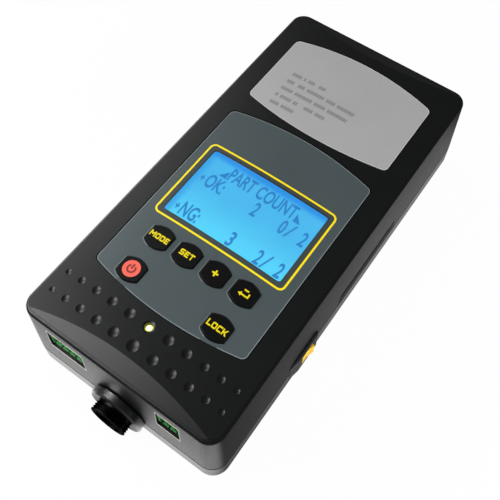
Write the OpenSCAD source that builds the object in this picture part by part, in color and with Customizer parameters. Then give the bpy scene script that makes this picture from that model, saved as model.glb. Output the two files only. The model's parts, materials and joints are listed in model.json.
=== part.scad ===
// Fastening counter: a low instrument case with a display, six keys and a status lamp
// on top, two terminal rows and a round socket in front, a rocker on the right wall
// and a mains inlet in the rear wall.
// X runs to the right, Y to the rear and Z up from the table. Lengths in millimetres.

/* [Case] */
// Width between the top edges of the side walls
case_w = 92; // [91:0.5:94]
// Length between the top edges of the end walls
case_l = 192; // [191:0.5:194]
// Height of the top edges of the walls above the table
edge_z = 45.5; // [45.3:0.1:45.8]
// Rise of the crowned top above those edges
crown_h = 2.7; // [2.4:0.1:3]
// Corner radius of the top edge, in plan
corner_r = 6.5; // [6:0.5:8]
// Rounding of the top edge
edge_r = 1.6; // [1.4:0.1:2]
// Outward lean of the upper walls, in degrees
wall_lean = 1.56; // [1.2:0.02:1.8]
// Height of the joint between the two covers
seam_z = 13; // [12.8:0.1:13.2]
// Distance from an end wall to the middle of its slanted edge
bevel_l = 8; // [7:0.5:8.5]
// Height of the rubber feet under the case
foot_h = 1.5; // [1.2:0.1:1.8]

/* [Panels] */
// Width of the two sunk panels
panel_w = 72.4; // [71:0.2:73]
// Depth of the two recesses
panel_sink = 1; // [0.9:0.05:1.1]
// Thickness of the keypad sheet and the rating plate
sheet_t = 0.75; // [0.7:0.05:0.8]
// Gap around each sheet
sheet_gap = 0.4; // [0.3:0.05:0.5]
// Corner radius of the recesses
panel_r = 2.8; // [2.4:0.2:3.2]

/* [Display] */
// Visible width of the display
display_w = 57.3; // [56:0.1:58]
// Visible length of the display
display_l = 35.4; // [35:0.1:35.6]
// Middle of the display, along Y
display_y = -13.5; // [-13.6:0.1:-13.4]

/* [Keys] */
// Width of a key's top
key_w = 10; // [9.6:0.1:10.2]
// Length of a key's top
key_l = 9.7; // [9.4:0.1:10]
// Radius of the arched front and rear edges of a key's top
key_arch = 8; // [7.6:0.1:9]
// Run of a key's sloped sides
key_skirt = 0.5; // [0.4:0.05:0.6]
// Distance between keys in the top row
key_pitch = 13.72; // [13.6:0.02:13.9]
// Key height above the case
key_proud = 0.5; // [0.4:0.05:0.8]

/* [Dimples] */
// Depth of a dimple as a share of its width
dimple_share = 0.16; // [0.12:0.01:0.18]

/* [Terminal rows] */
// Distance between poles
pole_pitch = 3.5; // [3.45:0.01:3.5]
// Middle of the five-pole row, along X
five_x = -24.5; // [-24.7:0.1:-24.3]
// Middle of the three-pole row, along X
three_x = 24.8; // [24.4:0.1:25.4]

/* [Round socket] */
// Radius of the collar
collar_r = 12.3; // [12:0.1:12.4]
// Outer radius of the threaded barrel
barrel_r = 8.3; // [8.2:0.05:8.4]
// Reach of the barrel in front of the top edge of the wall
barrel_reach = 9; // [8.6:0.1:9.2]

/* [Side switch] */
// Middle of the rocker, along Y
rocker_y = -36; // [-36.4:0.1:-35.6]
// Height of the bezel off the wall
bezel_t = 1; // [0.9:0.1:1.2]
// Tilt of the rocker to each side of level, in degrees
rocker_tilt = 8; // [6:0.5:8]

/* [Mains inlet] */
// Middle of the inlet, along X
inlet_x = -18; // [-18.5:0.1:-16]
// Middle of the inlet above the table
inlet_z = 26; // [25.8:0.1:26.5]

/* [Hidden] */
$fn = 64;
body_fn = 720;
edge_segments = 24;
big = 300;
lap = 0.01;
fit = 0.05;

// Outer form
half_w = case_w / 2;
half_l = case_l / 2;
lean = tan(wall_lean);
apex_z = edge_z + crown_h;
fillet_z = edge_z - edge_r;
core_x = half_w - corner_r;
core_y = half_l - corner_r;
edge_mid = corner_r + edge_r * lean - edge_r;
top_half_w = core_x + edge_mid;
top_half_l = core_y + edge_mid;
crown_rad = (top_half_w * top_half_w + crown_h * crown_h) / (2 * crown_h);
seam_out = (edge_z - seam_z) * lean;
seam_half_w = half_w + seam_out;
seam_half_l = half_l + seam_out;
seam_r = corner_r + seam_out;
seam_gap = 0.5;
seam_chamfer = 0.6;
foot_chamfer = 1.5;

// Inner form
wall_t = 2.6;
cavity_w = half_w - wall_t;
cavity_l = half_l - wall_t;
cavity_r = 4;
flat_roof_z = 42.4;
skin_t = 3;
roof_half_w = 41.5;
roof_half_l = 85.5;
floor_z = foot_h + 2.5;
tray_half_w = seam_half_w - 2.9;
tray_half_l = seam_half_l - 2.9;
tongue_t = 1.35;
tongue_top = seam_z + 1.8;

// Posts and screws that hold the covers
post_x = 38;
post_y = 84;
post_r = 3.6;
post_z = 6;
post_top = 44.5;
screw_r = 1.5;
screw_head_r = 2.75;
screw_head_z = foot_h + 2.7;
foot_x = 36;
foot_y = 66;
foot_r = 4.6;
foot_sink = 0.6;

// Outlines of the sunk panels: front edge at the middle and at the corners, then rear edge
keypad_ys = [-69, -64.4, 30.2, 26.4];
plate_ys = [33, 37.8, 82.7, 78.4];
sheet_low = panel_sink - fit;
sheet_top = sheet_low - sheet_t;

// Display stack
opening_half_w = display_w / 2 + 2.55;
opening_half_l = display_l / 2 + 2.3;
pane_top = sheet_low + fit;
pane_low = pane_top + 0.7;
glass_top = crown_z(opening_half_w) - pane_low - fit;
glass_low = 43.3;
stack_gap = 0.3;
lcd_frame_t = 3;
lcd_frame_top = 43.2;

// Display board
board_t = 1.6;
dboard_top = 39.2;
dboard_low = dboard_top - board_t;
dboard_half_w = 33.4;
dboard_y0 = -92.4;
dboard_y1 = 18;
dboard_posts = [[-30, -66.5], [30, -66.5], [-29, 14.2], [29, 14.2]];
dpost_r = 2.6;
dpost_top = 45;
small_screw_r = 1;

// Keys and their switches: heights of a key are measured from the crowned top
row_a_y = -43.2;
row_b_y = -60.2;
key_x_in = key_pitch / 2;
key_x_out = key_pitch * 1.5;
key_spots = [for (x = [-key_x_out, -key_x_in, key_x_in, key_x_out]) [x, row_a_y],
    for (x = [-key_x_out, key_x_out]) [x, row_b_y]];
key_gap = 0.15;
key_flange = 6.6;
key_flange_top = -skin_t - 0.15;
key_flange_low = key_flange_top - 0.6;
tact_s = 6;
tact_top = dboard_top + 3.1;
plunger_r = 1.75;

// Dimples: distance from the middle and width
dimple_rows = [-83.7, -74.6];
dimple_x = [0, 9.25, 17.75, 25.8, 33.3, 40.2];
dimple_d = [4.9, 4.3, 4, 3.6, 3.2, 2.5];

// Status lamp
led_y = dimple_rows[1];
led_r = 1.5;
led_hole_r = 1.7;
led_top = apex_z - 0.9;
led_spacer_top = 43.4;

// Terminal rows
row_y0 = -95.6;
row_y1 = -84.5;
row_z0 = 28.5;
row_z1 = dboard_low;
row_gap = 0.2;
row_gap_below = 1.8;
row_gap_above = 1;
row_wall = 1.2;
row_depth = 9.2;
pin_r = 0.5;
pin_z = (row_z0 + row_z1) / 2;
leg_y = row_y1 + 0.9;

// Round socket: distances s are measured forward from the middle of the case
socket_z = seam_z;
neck_r = 8;
clamp_ring_r = 8.8;
tail_r = 7.8;
neck_s0 = 93.3;
collar_s0 = seam_half_l + 0.4;
collar_s1 = half_l + 4.6;
barrel_s1 = half_l + barrel_reach;
bore_r = 6.3;
seat_r = 6.1;
insert_s1 = 98.2;

// Side switch
bezel_x = seam_half_w + fit;
bezel_z0 = 6;
bezel_z1 = 18;
rocker_half_l = 3.6;
rocker_gap = 0.8;
pivot_x = bezel_x + bezel_t - 3;
rocker_rise = rocker_half_l * tan(rocker_tilt);
switch_z0 = 7.2;
switch_z1 = 16.8;
switch_x0 = 38;

// Mains inlet
flange_y0 = half_l + 0.2;
flange_y1 = flange_y0 + 2.1;
flange_half_w = 15.35;
flange_half_h = 11.85;
inlet_half_w = 13.5;
inlet_half_h = 9.9;
inlet_back = 78;
inlet_floor = 83;

// Main board
mboard_low = 9;
mboard_top = mboard_low + board_t;
mboard_half_w = 38;
mboard_y0 = -72;
mboard_y1 = 77;
mboard_posts = [[-33, -66], [33, -66], [-33, 71], [33, 71]];

// Placing in the frame: middle of the bounding box at the origin
rocker_reach = (3 + rocker_rise) * cos(rocker_tilt) + rocker_half_l * sin(rocker_tilt);
shift_x = -(pivot_x + rocker_reach - seam_half_w) / 2;
shift_y = -(flange_y1 - barrel_s1) / 2;

// Height of the crowned top at a distance from the middle
function crown_z(x) = apex_z - crown_rad + sqrt(crown_rad * crown_rad - x * x);

// Half-width of the upper wall's profile beyond the corner axis, at a height
function wall_r(z) = corner_r + (edge_z - z) * lean;

// Points of one arched end of a panel, from its left side to its right side
function arched_end(hw, mid, ends, r, dir) =
    let (
        rise = abs(mid - ends),
        rad = (hw * hw + rise * rise) / (2 * rise),
        cy = mid - dir * rad,
        cx = hw - r,
        corner_y = cy + dir * sqrt(pow(rad - r, 2) - cx * cx),
        phi = asin(cx / (rad - r)),
        steps = 6
    )
    concat(
        [for (i = [0:steps - 1]) let (b = -90 + (90 - phi) * i / steps)
            [-cx + r * sin(b), corner_y + dir * r * cos(b)]],
        [for (i = [0:edge_segments]) let (b = -phi + 2 * phi * i / edge_segments)
            [rad * sin(b), cy + dir * rad * cos(b)]],
        [for (i = [1:steps]) let (b = phi + (90 - phi) * i / steps)
            [cx + r * sin(b), corner_y + dir * r * cos(b)]]
    );

function reversed(list) = [for (i = [len(list) - 1:-1:0]) list[i]];

// Outline of a panel drawn in by a gap
function panel_points(ys, gap) =
    let (hw = panel_w / 2 - gap, r = panel_r - gap)
    concat(
        arched_end(hw, ys[0] + gap, ys[1] + gap, r, -1),
        reversed(arched_end(hw, ys[2] - gap, ys[3] - gap, r, 1))
    );

module place() translate([shift_x, shift_y, 0]) children();

module rounded_rect(hx, hy, r) {
    square([2 * hx, 2 * (hy - r)], center = true);
    square([2 * (hx - r), 2 * hy], center = true);
    for (sx = [-1, 1], sy = [-1, 1])
        translate([sx * (hx - r), sy * (hy - r)]) circle(r);
}

module rounded_box(hx, hy, r, z0, z1)
    translate([0, 0, z0]) linear_extrude(z1 - z0) rounded_rect(hx, hy, r);

module span(x0, x1, y0, y1, z0, z1)
    translate([x0, y0, z0]) cube([x1 - x0, y1 - y0, z1 - z0]);

module rod(x, y, z0, z1, r)
    translate([x, y, z0]) cylinder(r = r, h = z1 - z0);

// Box with rounded corners whose wall follows a profile drawn from the corner axis
module profiled_box(hx, hy, z0, z1) {
    for (i = [0:3])
        translate([(i == 0 || i == 3 ? 1 : -1) * hx, (i < 2 ? 1 : -1) * hy, 0])
            rotate(90 * i) rotate_extrude(angle = 90) children();
    for (a = [0, 180]) {
        rotate(a) translate([hx, 0, 0]) rotate([90, 0, 0])
            linear_extrude(2 * hy, center = true) children();
        rotate(a + 90) translate([hy, 0, 0]) rotate([90, 0, 0])
            linear_extrude(2 * hx, center = true) children();
    }
    span(-hx, hx, -hy, hy, z0, z1);
}

module upper_profile() {
    polygon([[0, seam_z], [wall_r(seam_z), seam_z], [wall_r(fillet_z), fillet_z],
        [edge_mid, fillet_z], [edge_mid, edge_z], [0, edge_z]]);
    translate([edge_mid, fillet_z]) intersection() {
        circle(edge_r);
        square(edge_r);
    }
}

module lower_profile()
    polygon([[0, foot_h], [seam_r - foot_chamfer, foot_h], [seam_r, foot_h + foot_chamfer],
        [seam_r, seam_z - seam_gap - seam_chamfer], [seam_r - seam_chamfer, seam_z - seam_gap],
        [0, seam_z - seam_gap]]);

// Everything under the crowned surface lowered by a depth
module crown_block(depth)
    translate([0, 0, apex_z - crown_rad]) rotate([90, 0, 0])
        cylinder(r = crown_rad - depth, h = big, center = true, $fn = body_fn);

module crown_cap() intersection() {
    crown_block(0);
    rounded_box(top_half_w, top_half_l, edge_mid, edge_z - 1, apex_z + 1);
    rotate([90, 0, 90]) linear_extrude(case_w, center = true)
        let (
            slope = (bevel_l - half_l + top_half_l) / crown_h,
            over = 1,
            inner = top_half_l - slope * (crown_h + over)
        )
        polygon([[-top_half_l, edge_z - 1], [-top_half_l, edge_z], [-inner, apex_z + over],
            [inner, apex_z + over], [top_half_l, edge_z], [top_half_l, edge_z - 1]]);
}

module panel_prism(ys, gap)
    translate([0, 0, flat_roof_z]) linear_extrude(8) polygon(panel_points(ys, gap));

module panel_recess(ys) difference() {
    panel_prism(ys, 0);
    crown_block(panel_sink);
}

module panel_sheet(ys) difference() {
    intersection() {
        panel_prism(ys, sheet_gap);
        crown_block(sheet_top);
    }
    crown_block(sheet_low);
}

// Stands what is drawn at height 0 on the crowned top, at a distance from the middle
module on_crown(x)
    translate([0, 0, apex_z - crown_rad]) rotate([0, asin(x / crown_rad), 0])
        translate([0, 0, crown_rad]) children();

module key_holes()
    let (grow = key_skirt + key_gap, hw = key_w / 2 + grow)
    for (p = key_spots) on_crown(p.x) translate([0, p.y, 2 * key_flange_low]) intersection() {
        translate([-hw, -key_w, 0]) cube([2 * hw, 2 * key_w, 4 * key_w]);
        for_both_arches() cylinder(r = key_arch + grow, h = 4 * key_w);
    }

// What the two arches of a key have in common
module for_both_arches()
    intersection_for (s = [-1, 1]) translate([0, s * (key_arch - key_l / 2), 0]) children();

module display_opening(grow, r)
    translate([0, display_y]) rounded_rect(opening_half_w + grow, opening_half_l + grow, r);

module dimples()
    for (y = dimple_rows, i = [0:len(dimple_x) - 1], side = i == 0 ? [1] : [-1, 1])
        let (
            depth = dimple_share * dimple_d[i],
            rad = (pow(dimple_d[i] / 2, 2) + depth * depth) / (2 * depth)
        )
        translate([side * dimple_x[i], y, crown_z(dimple_x[i]) - depth + rad]) sphere(rad);

module finger_recess()
    let (
        y0 = -11,
        y1 = 36,
        top = 20,
        depth = 1.9,
        rad = (pow((y1 - y0) / 2, 2) + depth * depth) / (2 * depth),
        face = half_w + (edge_z - top) * lean
    )
    intersection() {
        translate([0, (y0 + y1) / 2, 0]) rotate([90, 0, 0])
            linear_extrude(y1 - y0 + 4, center = true)
            polygon([[seam_half_w - lap, seam_z - 1], [seam_half_w - lap, seam_z],
                [face - depth, top], [half_w + 4, top], [half_w + 4, seam_z - 1]]);
        translate([face - depth + rad, (y0 + y1) / 2, 0]) cylinder(r = rad, h = top + 5, $fn = body_fn);
    }

module along_front(s0, s1, r)
    translate([0, -s0, socket_z]) rotate([90, 0, 0]) cylinder(r = r, h = s1 - s0);

module switch_cutout()
    span(switch_x0, half_w + 6, rocker_y - 7.2, rocker_y + 7.1, switch_z0 - 0.2, switch_z1 + 0.2);

module row_slot(x, poles)
    let (hw = poles * pole_pitch / 2 + row_gap - 0.1)
    span(x - hw, x + hw, -half_l - 3, -cavity_l + 1, row_z0 - row_gap_below,
        row_z1 + row_gap_above);

module inlet_cut() {
    span(inlet_x - flange_half_w - 0.3, inlet_x + flange_half_w + 0.3, flange_y0, half_l + 5,
        inlet_z - flange_half_h - 0.3, inlet_z + flange_half_h + 0.3);
    span(inlet_x - inlet_half_w - 0.2, inlet_x + inlet_half_w + 0.2, cavity_l - 2, half_l + 5,
        inlet_z - inlet_half_h - 0.2, inlet_z + inlet_half_h + 0.2);
}

module top_cover() color("#1b1c1d") difference() {
    union() {
        difference() {
            union() {
                profiled_box(core_x, core_y, seam_z, edge_z) upper_profile();
                crown_cap();
            }
            rounded_box(cavity_w, cavity_l, cavity_r, seam_z - 1, flat_roof_z);
            intersection() {
                crown_block(skin_t);
                rounded_box(roof_half_w, roof_half_l, cavity_r, flat_roof_z - 1, apex_z);
            }
            rounded_box(tray_half_w + tongue_t + 0.15, tray_half_l + tongue_t + 0.15, cavity_r + tongue_t,
                seam_z - 1, tongue_top + 0.2);
        }
        for (sx = [-1, 1], sy = [-1, 1]) {
            rod(sx * post_x, sy * post_y, post_z, post_top, post_r);
            span(sx > 0 ? post_x : -cavity_w - 1, sx > 0 ? cavity_w + 1 : -post_x,
                sy * post_y - 0.7, sy * post_y + 0.7, tongue_top + 1, flat_roof_z + lap);
        }
        for (p = dboard_posts) rod(p.x, p.y, dboard_top, dpost_top, dpost_r);
    }
    for (sx = [-1, 1], sy = [-1, 1])
        rod(sx * post_x, sy * post_y, post_z - 1, 18, screw_r + fit);
    for (p = dboard_posts) rod(p.x, p.y, dboard_top - 1, 43.4, small_screw_r + fit);
    panel_recess(keypad_ys);
    panel_recess(plate_ys);
    key_holes();
    translate([0, 0, flat_roof_z - 1]) linear_extrude(8) display_opening(0, 1.5);
    rod(0, led_y, flat_roof_z, apex_z + 1, led_hole_r);
    dimples();
    row_slot(five_x, 5);
    row_slot(three_x, 3);
    along_front(cavity_l - 2, half_l + 4, neck_r + 0.1);
    finger_recess();
    switch_cutout();
    inlet_cut();
}

module bottom_cover() color("#1a1b1c") difference() {
    union() {
        difference() {
            profiled_box(core_x, core_y, foot_h, seam_z - seam_gap) lower_profile();
            rounded_box(tray_half_w, tray_half_l, cavity_r, floor_z, seam_z + 1);
        }
        difference() {
            rounded_box(tray_half_w + tongue_t, tray_half_l + tongue_t, cavity_r + tongue_t,
                seam_z - seam_gap - 1, tongue_top);
            rounded_box(tray_half_w, tray_half_l, cavity_r, floor_z, tongue_top + 1);
        }
        for (sx = [-1, 1], sy = [-1, 1])
            rod(sx * post_x, sy * post_y, floor_z - lap, post_z, post_r + 0.8);
        for (p = mboard_posts) rod(p.x, p.y, floor_z - lap, mboard_low, 3);
    }
    for (sx = [-1, 1], sy = [-1, 1]) {
        rod(sx * post_x, sy * post_y, foot_h - 1, screw_head_z, screw_head_r + 0.35);
        rod(sx * post_x, sy * post_y, foot_h, post_z + 1, screw_r + 0.2);
        rod(sx * foot_x, sy * foot_y, foot_h - 1, foot_h + foot_sink, foot_r + 0.1);
    }
    for (p = mboard_posts) rod(p.x, p.y, 5, mboard_low + 1, small_screw_r + fit);
    along_front(cavity_l - 2, half_l + 4, neck_r + 0.1);
    switch_cutout();
}

module foot(sx, sy) color("#101010")
    translate([sx * foot_x, sy * foot_y, 0]) rotate_extrude()
        polygon([[0, 0], [foot_r - 0.5, 0], [foot_r, 0.5], [foot_r, foot_h + foot_sink],
            [0, foot_h + foot_sink]]);

module cross_slot(x, y, z, w, h) {
    translate([x, y, z]) cube([w, 0.7, h], center = true);
    translate([x, y, z]) cube([0.7, w, h], center = true);
}

module case_screws() color("#8d9092")
    for (sx = [-1, 1], sy = [-1, 1]) difference() {
        union() {
            rod(sx * post_x, sy * post_y, screw_head_z - 2.2, screw_head_z, screw_head_r);
            rod(sx * post_x, sy * post_y, screw_head_z - lap, 16.5, screw_r);
        }
        cross_slot(sx * post_x, sy * post_y, screw_head_z - 2.2, 3.4, 2.4);
    }

module rating_plate() color("#a5a5a5") panel_sheet(plate_ys);

module keypad_overlay() color("#4a5557") difference() {
    panel_sheet(keypad_ys);
    key_holes();
    translate([0, display_y, flat_roof_z]) linear_extrude(8) rounded_rect(display_w / 2, display_l / 2, 1.2);
}

module display_window() color("#bfe9f5") difference() {
    intersection() {
        translate([0, 0, flat_roof_z]) linear_extrude(8) display_opening(-0.2, 1.3);
        crown_block(pane_top);
    }
    crown_block(pane_low);
}

module lcd_glass() color("#52c8f0")
    translate([0, 0, glass_low]) linear_extrude(glass_top - glass_low) display_opening(-stack_gap, 1);

module lcd_backlight() color("#f2f4f0")
    translate([0, 0, dboard_top]) linear_extrude(glass_low - dboard_top) display_opening(-stack_gap, 1);

module lcd_frame() color("#9a9c9e")
    translate([0, 0, dboard_top]) linear_extrude(lcd_frame_top - dboard_top) difference() {
        display_opening(lcd_frame_t - 0.2, 1);
        display_opening(-0.2, 1.2);
    }

module display_board() color("#1d5b33") difference() {
    span(-dboard_half_w, dboard_half_w, dboard_y0, dboard_y1, dboard_low, dboard_top);
    for (p = dboard_posts) rod(p.x, p.y, dboard_low - 1, dboard_top + 1, small_screw_r + 0.15);
    row_legs(five_x, 5, 0.1);
    row_legs(three_x, 3, 0.1);
}

module board_screw(p, head_z, tip_z) {
    up = tip_z > head_z ? 1 : -1;
    head_t = 1.5;
    difference() {
        union() {
            rod(p.x, p.y, min(head_z, head_z - up * head_t), max(head_z, head_z - up * head_t), 2);
            rod(p.x, p.y, min(head_z, tip_z), max(head_z, tip_z), small_screw_r);
        }
        cross_slot(p.x, p.y, head_z - up * head_t, 2.4, 1.4);
    }
}

module display_board_screws() color("#8d9092")
    for (p = dboard_posts) board_screw(p, dboard_low, 43);

module key(x, y) color("#17181a") on_crown(x) translate([0, y, 0])
    let (low = key_flange_top - lap, hw = key_w / 2, wide = key_skirt, shoulder = -sheet_top) {
        intersection() {
            rotate([90, 0, 0]) linear_extrude(2 * key_w, center = true)
                polygon([[-hw - wide, low], [hw + wide, low], [hw + wide, shoulder],
                    [hw, key_proud], [-hw, key_proud], [-hw - wide, shoulder]]);
            for_both_arches() rotate_extrude()
                polygon([[0, low], [key_arch + wide, low], [key_arch + wide, shoulder],
                    [key_arch, key_proud], [0, key_proud]]);
        }
        span(-key_flange, key_flange, -key_flange, key_flange, key_flange_low, key_flange_top);
    }

module tact(x, y) color("#232425") difference() {
    span(x - tact_s / 2, x + tact_s / 2, y - tact_s / 2, y + tact_s / 2, dboard_top, tact_top);
    rod(x, y, dboard_top + 1.5, tact_top + 1, plunger_r + 0.1);
}

module plunger(x, y) color("#3a3b3c") difference() {
    rod(x, y, dboard_top + 2.3, apex_z, plunger_r);
    on_crown(x) translate([-key_w, y - key_w, key_flange_low]) cube(2 * key_w);
}

module status_led() color("#f4f6d8") {
    rod(0, led_y, led_spacer_top, led_spacer_top + 0.8, led_r + 0.5);
    rod(0, led_y, led_spacer_top, led_top - led_r, led_r);
    translate([0, led_y, led_top - led_r]) sphere(led_r);
}

module led_spacer() color("#2a2b2c") difference() {
    rod(0, led_y, dboard_top, led_spacer_top, 2.4);
    rod(0, led_y, dboard_top - 1, led_spacer_top + 1, 1.2);
}

module turned(points) translate([0, 0, socket_z]) rotate([90, 0, 0]) rotate_extrude() polygon(points);

module socket_shell() color("#1d1e1f")
    let (root = barrel_r - 0.5, thread_s = collar_s1 + 0.4, turns = 3)
    turned(concat(
        [[bore_r, insert_s1], [seat_r, insert_s1], [seat_r, 80], [tail_r, 80], [tail_r, 91.4],
            [clamp_ring_r, 91.4], [clamp_ring_r, neck_s0], [neck_r, neck_s0],
            [neck_r, collar_s0 - 0.1], [root, collar_s0 - 0.1], [root, thread_s]],
        [for (i = [0:turns - 1]) each [[barrel_r, thread_s + i + 0.4], [barrel_r, thread_s + i + 0.5],
            [root, thread_s + i + 0.9], [root, thread_s + i + 1]]],
        [[barrel_r, barrel_s1 - 0.6], [barrel_r, barrel_s1 - 0.2], [barrel_r - 0.3, barrel_s1],
            [bore_r, barrel_s1]]
    ));

module socket_collar() color("#161718")
    let (chamfer = 0.7, hole = barrel_r - 0.45)
    turned([[hole, collar_s0], [collar_r, collar_s0], [collar_r, collar_s1 - chamfer],
        [collar_r - chamfer, collar_s1], [hole, collar_s1]]);

module contact_places(r, s0, s1)
    for (i = [0:5])
        translate(i == 0 ? [0, 0, 0] : [3.6 * sin(72 * i), 0, 3.6 * cos(72 * i)]) along_front(s0, s1, r);

module socket_insert() color("#2c2d2e") difference() {
    along_front(82, insert_s1, seat_r - fit);
    contact_places(0.7, 80, insert_s1 + 1);
}

module socket_contacts() color("#c8a24a") contact_places(0.65, 77, insert_s1 - 0.3);

module header(x, poles) color("#3f9a4f")
    let (hw = poles * pole_pitch / 2 - 0.1, cavity_y = row_y0 + row_depth)
    difference() {
        union() {
            difference() {
                span(x - hw, x + hw, row_y0, row_y1, row_z0, row_z1);
                span(x - hw + 0.8, x + hw - 0.8, row_y0 - 1, cavity_y, row_z0 + row_wall, row_z1 - row_wall);
            }
            for (i = [1:poles - 1])
                translate([x + (i - poles / 2) * pole_pitch, (row_y0 + 2.4), row_z0 + row_wall])
                    cube([0.7, 4, 1.2], center = true);
        }
        for (i = [1:poles - 1])
            translate([x + (i - poles / 2) * pole_pitch, row_y0, row_z1]) cube([0.8, 5, 3], center = true);
        for (i = [0:poles - 1]) translate([x + (i + 0.5 - poles / 2) * pole_pitch, 0, 0]) {
            translate([0, row_y1 + 1, pin_z]) rotate([90, 0, 0])
                cylinder(r = pin_r + fit, h = row_y1 + 2 - cavity_y);
            translate([0, row_y0, row_z0]) cube([0.8, 2, 2 * row_wall + 0.4], center = true);
        }
    }

module row_legs(x, poles, grow)
    for (i = [0:poles - 1])
        rod(x + (i + 0.5 - poles / 2) * pole_pitch, leg_y, pin_z, dboard_top - 0.2 + grow * 10, pin_r + grow);

module header_pins(x, poles) color("#c9b06a") {
    for (i = [0:poles - 1]) translate([x + (i + 0.5 - poles / 2) * pole_pitch, leg_y, pin_z]) {
        rotate([90, 0, 0]) cylinder(r = pin_r, h = leg_y - row_y0 - 4.4);
        sphere(pin_r);
    }
    row_legs(x, poles, 0);
}

module rocker_frame() color("#1a1b1c") difference() {
    union() {
        translate([0, 0, bezel_z0]) linear_extrude(bezel_z1 - bezel_z0)
            polygon([[bezel_x, rocker_y - 12], [bezel_x + bezel_t, rocker_y - 6.6],
                [bezel_x + bezel_t, rocker_y + 6.6], [bezel_x, rocker_y + 8.5]]);
        span(switch_x0, bezel_x + 1, rocker_y - 7, rocker_y + 6.9, switch_z0, switch_z1);
    }
    let (hl = rocker_half_l + rocker_gap)
        span(switch_x0 + 2, half_w + 6, rocker_y - hl, rocker_y + hl, switch_z0 + 0.9, switch_z1 - 0.9);
    rod(pivot_x, rocker_y, switch_z0 + 0.1, switch_z1 - 0.1, 0.85);
}

module rocker() color("#f2c832") translate([pivot_x, rocker_y, 0]) rotate(-rocker_tilt)
    let (tip = 3 + rocker_rise, e = rocker_half_l) {
        translate([0, 0, switch_z0 + 1.1]) linear_extrude(switch_z1 - switch_z0 - 2.2)
            polygon([[3, 0], [tip, e], [0.5, e], [-1.8, 3.2], [-1.8, -3.2], [0.5, -e], [tip, -e]]);
        rod(0, 0, switch_z0 + 0.2, switch_z1 - 0.2, 0.8);
    }

module rocker_terminals() color("#c9b06a")
    for (s = [-1, 1])
        span(switch_x0 - 7, switch_x0, rocker_y + 4 * s - 0.4, rocker_y + 4 * s + 0.4, 9.6, 14.4);

module along_rear(y0, y1)
    translate([inlet_x, y1, inlet_z]) rotate([90, 0, 0]) linear_extrude(y1 - y0) children();

module blade_shapes(grow)
    for (p = [[-7, -1.5], [0, 2.5], [7, -1.5]])
        translate(p) square([2 + 2 * grow, 4 + 2 * grow], center = true);

module power_inlet() color("#161718") difference() {
    union() {
        along_rear(flange_y0, flange_y1) rounded_rect(flange_half_w, flange_half_h, 2);
        along_rear(inlet_back, flange_y0 + lap) square([2 * inlet_half_w, 2 * inlet_half_h], center = true);
    }
    along_rear(inlet_floor, flange_y1 + 1)
        polygon([[-12, -8], [12, -8], [12, 3.4], [7.4, 8], [-7.4, 8], [-12, 3.4]]);
    along_rear(inlet_back - 1, inlet_floor + 1) blade_shapes(fit);
}

module inlet_blades() color("#b9bcbe") along_rear(inlet_back - 6, inlet_floor + 9.5) blade_shapes(0);

module main_board() color("#1d5b33") difference() {
    span(-mboard_half_w, mboard_half_w, mboard_y0, mboard_y1, mboard_low, mboard_top);
    span(29, mboard_half_w + 1, rocker_y - 14, rocker_y + 12, mboard_low - 1, mboard_top + 1);
    for (p = mboard_posts) rod(p.x, p.y, mboard_low - 1, mboard_top + 1, small_screw_r + 0.15);
}

module main_board_screws() color("#8d9092")
    for (p = mboard_posts) board_screw(p, mboard_top, 5.5);

module transformer_core() color("#3c3d3f") translate([12, 30, mboard_top])
    difference() {
        span(-15, 15, -6, 6, 0, 26);
        for (s = [-1, 1]) span(min(s * 4, s * 11.5), max(s * 4, s * 11.5), -7, 7, 3.5, 22.5);
    }

module transformer_winding() color("#d9b62c") translate([12, 30, mboard_top])
    difference() {
        translate([0, 0, 3.8]) linear_extrude(18.4) rounded_rect(11.2, 10.8, 3);
        span(-4.2, 4.2, -6.2, 6.2, 3, 23);
    }

module capacitor(r, h) difference() {
    union() {
        cylinder(r = r, h = h - 0.4);
        cylinder(r = r - 0.5, h = h);
    }
    translate([0, 0, 2]) rotate_extrude() translate([r + 0.3, 0]) circle(0.7);
    cross_slot(0, 0, h, r * 1.2, 0.6);
}

module bulk_capacitor() color("#20304f") translate([-24, 50, mboard_top]) capacitor(9, 28);

module output_capacitor() color("#2b2f33") translate([-27, 18, mboard_top]) capacitor(5, 18);

module heat_sink() color("#b5b8ba") translate([33, 30, mboard_top]) {
    span(0, 2, 0, 32, 0, 26);
    for (i = [0:4]) span(2 - lap, 6.5, 1.5 + 7 * i, 2.7 + 7 * i, 0, 26);
}

module power_transistor() color("#202122") translate([33, 46, mboard_top]) {
    span(-4.4, 0, -5, 5, 6, 16);
    span(-1.4, 0, -5, 5, 16 - lap, 22);
    for (i = [-1:1]) span(-2.6, -2, 2.5 * i - 0.4, 2.5 * i + 0.4, 0, 6 + lap);
}

module across(x0, x1, y, z, r) translate([x0, y, z]) rotate([0, 90, 0]) cylinder(r = r, h = x1 - x0);

module fuse() color("#cfd8da") {
    across(6, 26, 68.5, 15.6, 2.4);
    for (x = [6, 21]) across(x, x + 5, 68.5, 15.6, 2.6);
}

module fuse_clips() color("#b9bcbe")
    for (x = [6.8, 21.8]) difference() {
        span(x, x + 3.4, 65.3, 71.7, mboard_top, 17.4);
        across(x - 1, x + 5, 68.5, 15.6, 2.6 + fit);
        span(x - 1, x + 5, 66.4, 70.6, 15.6, 18);
    }

module choke() color("#b86a2c") translate([10, 54, mboard_top + 3.7])
    rotate_extrude() translate([7, 0]) circle(3.6);

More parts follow.
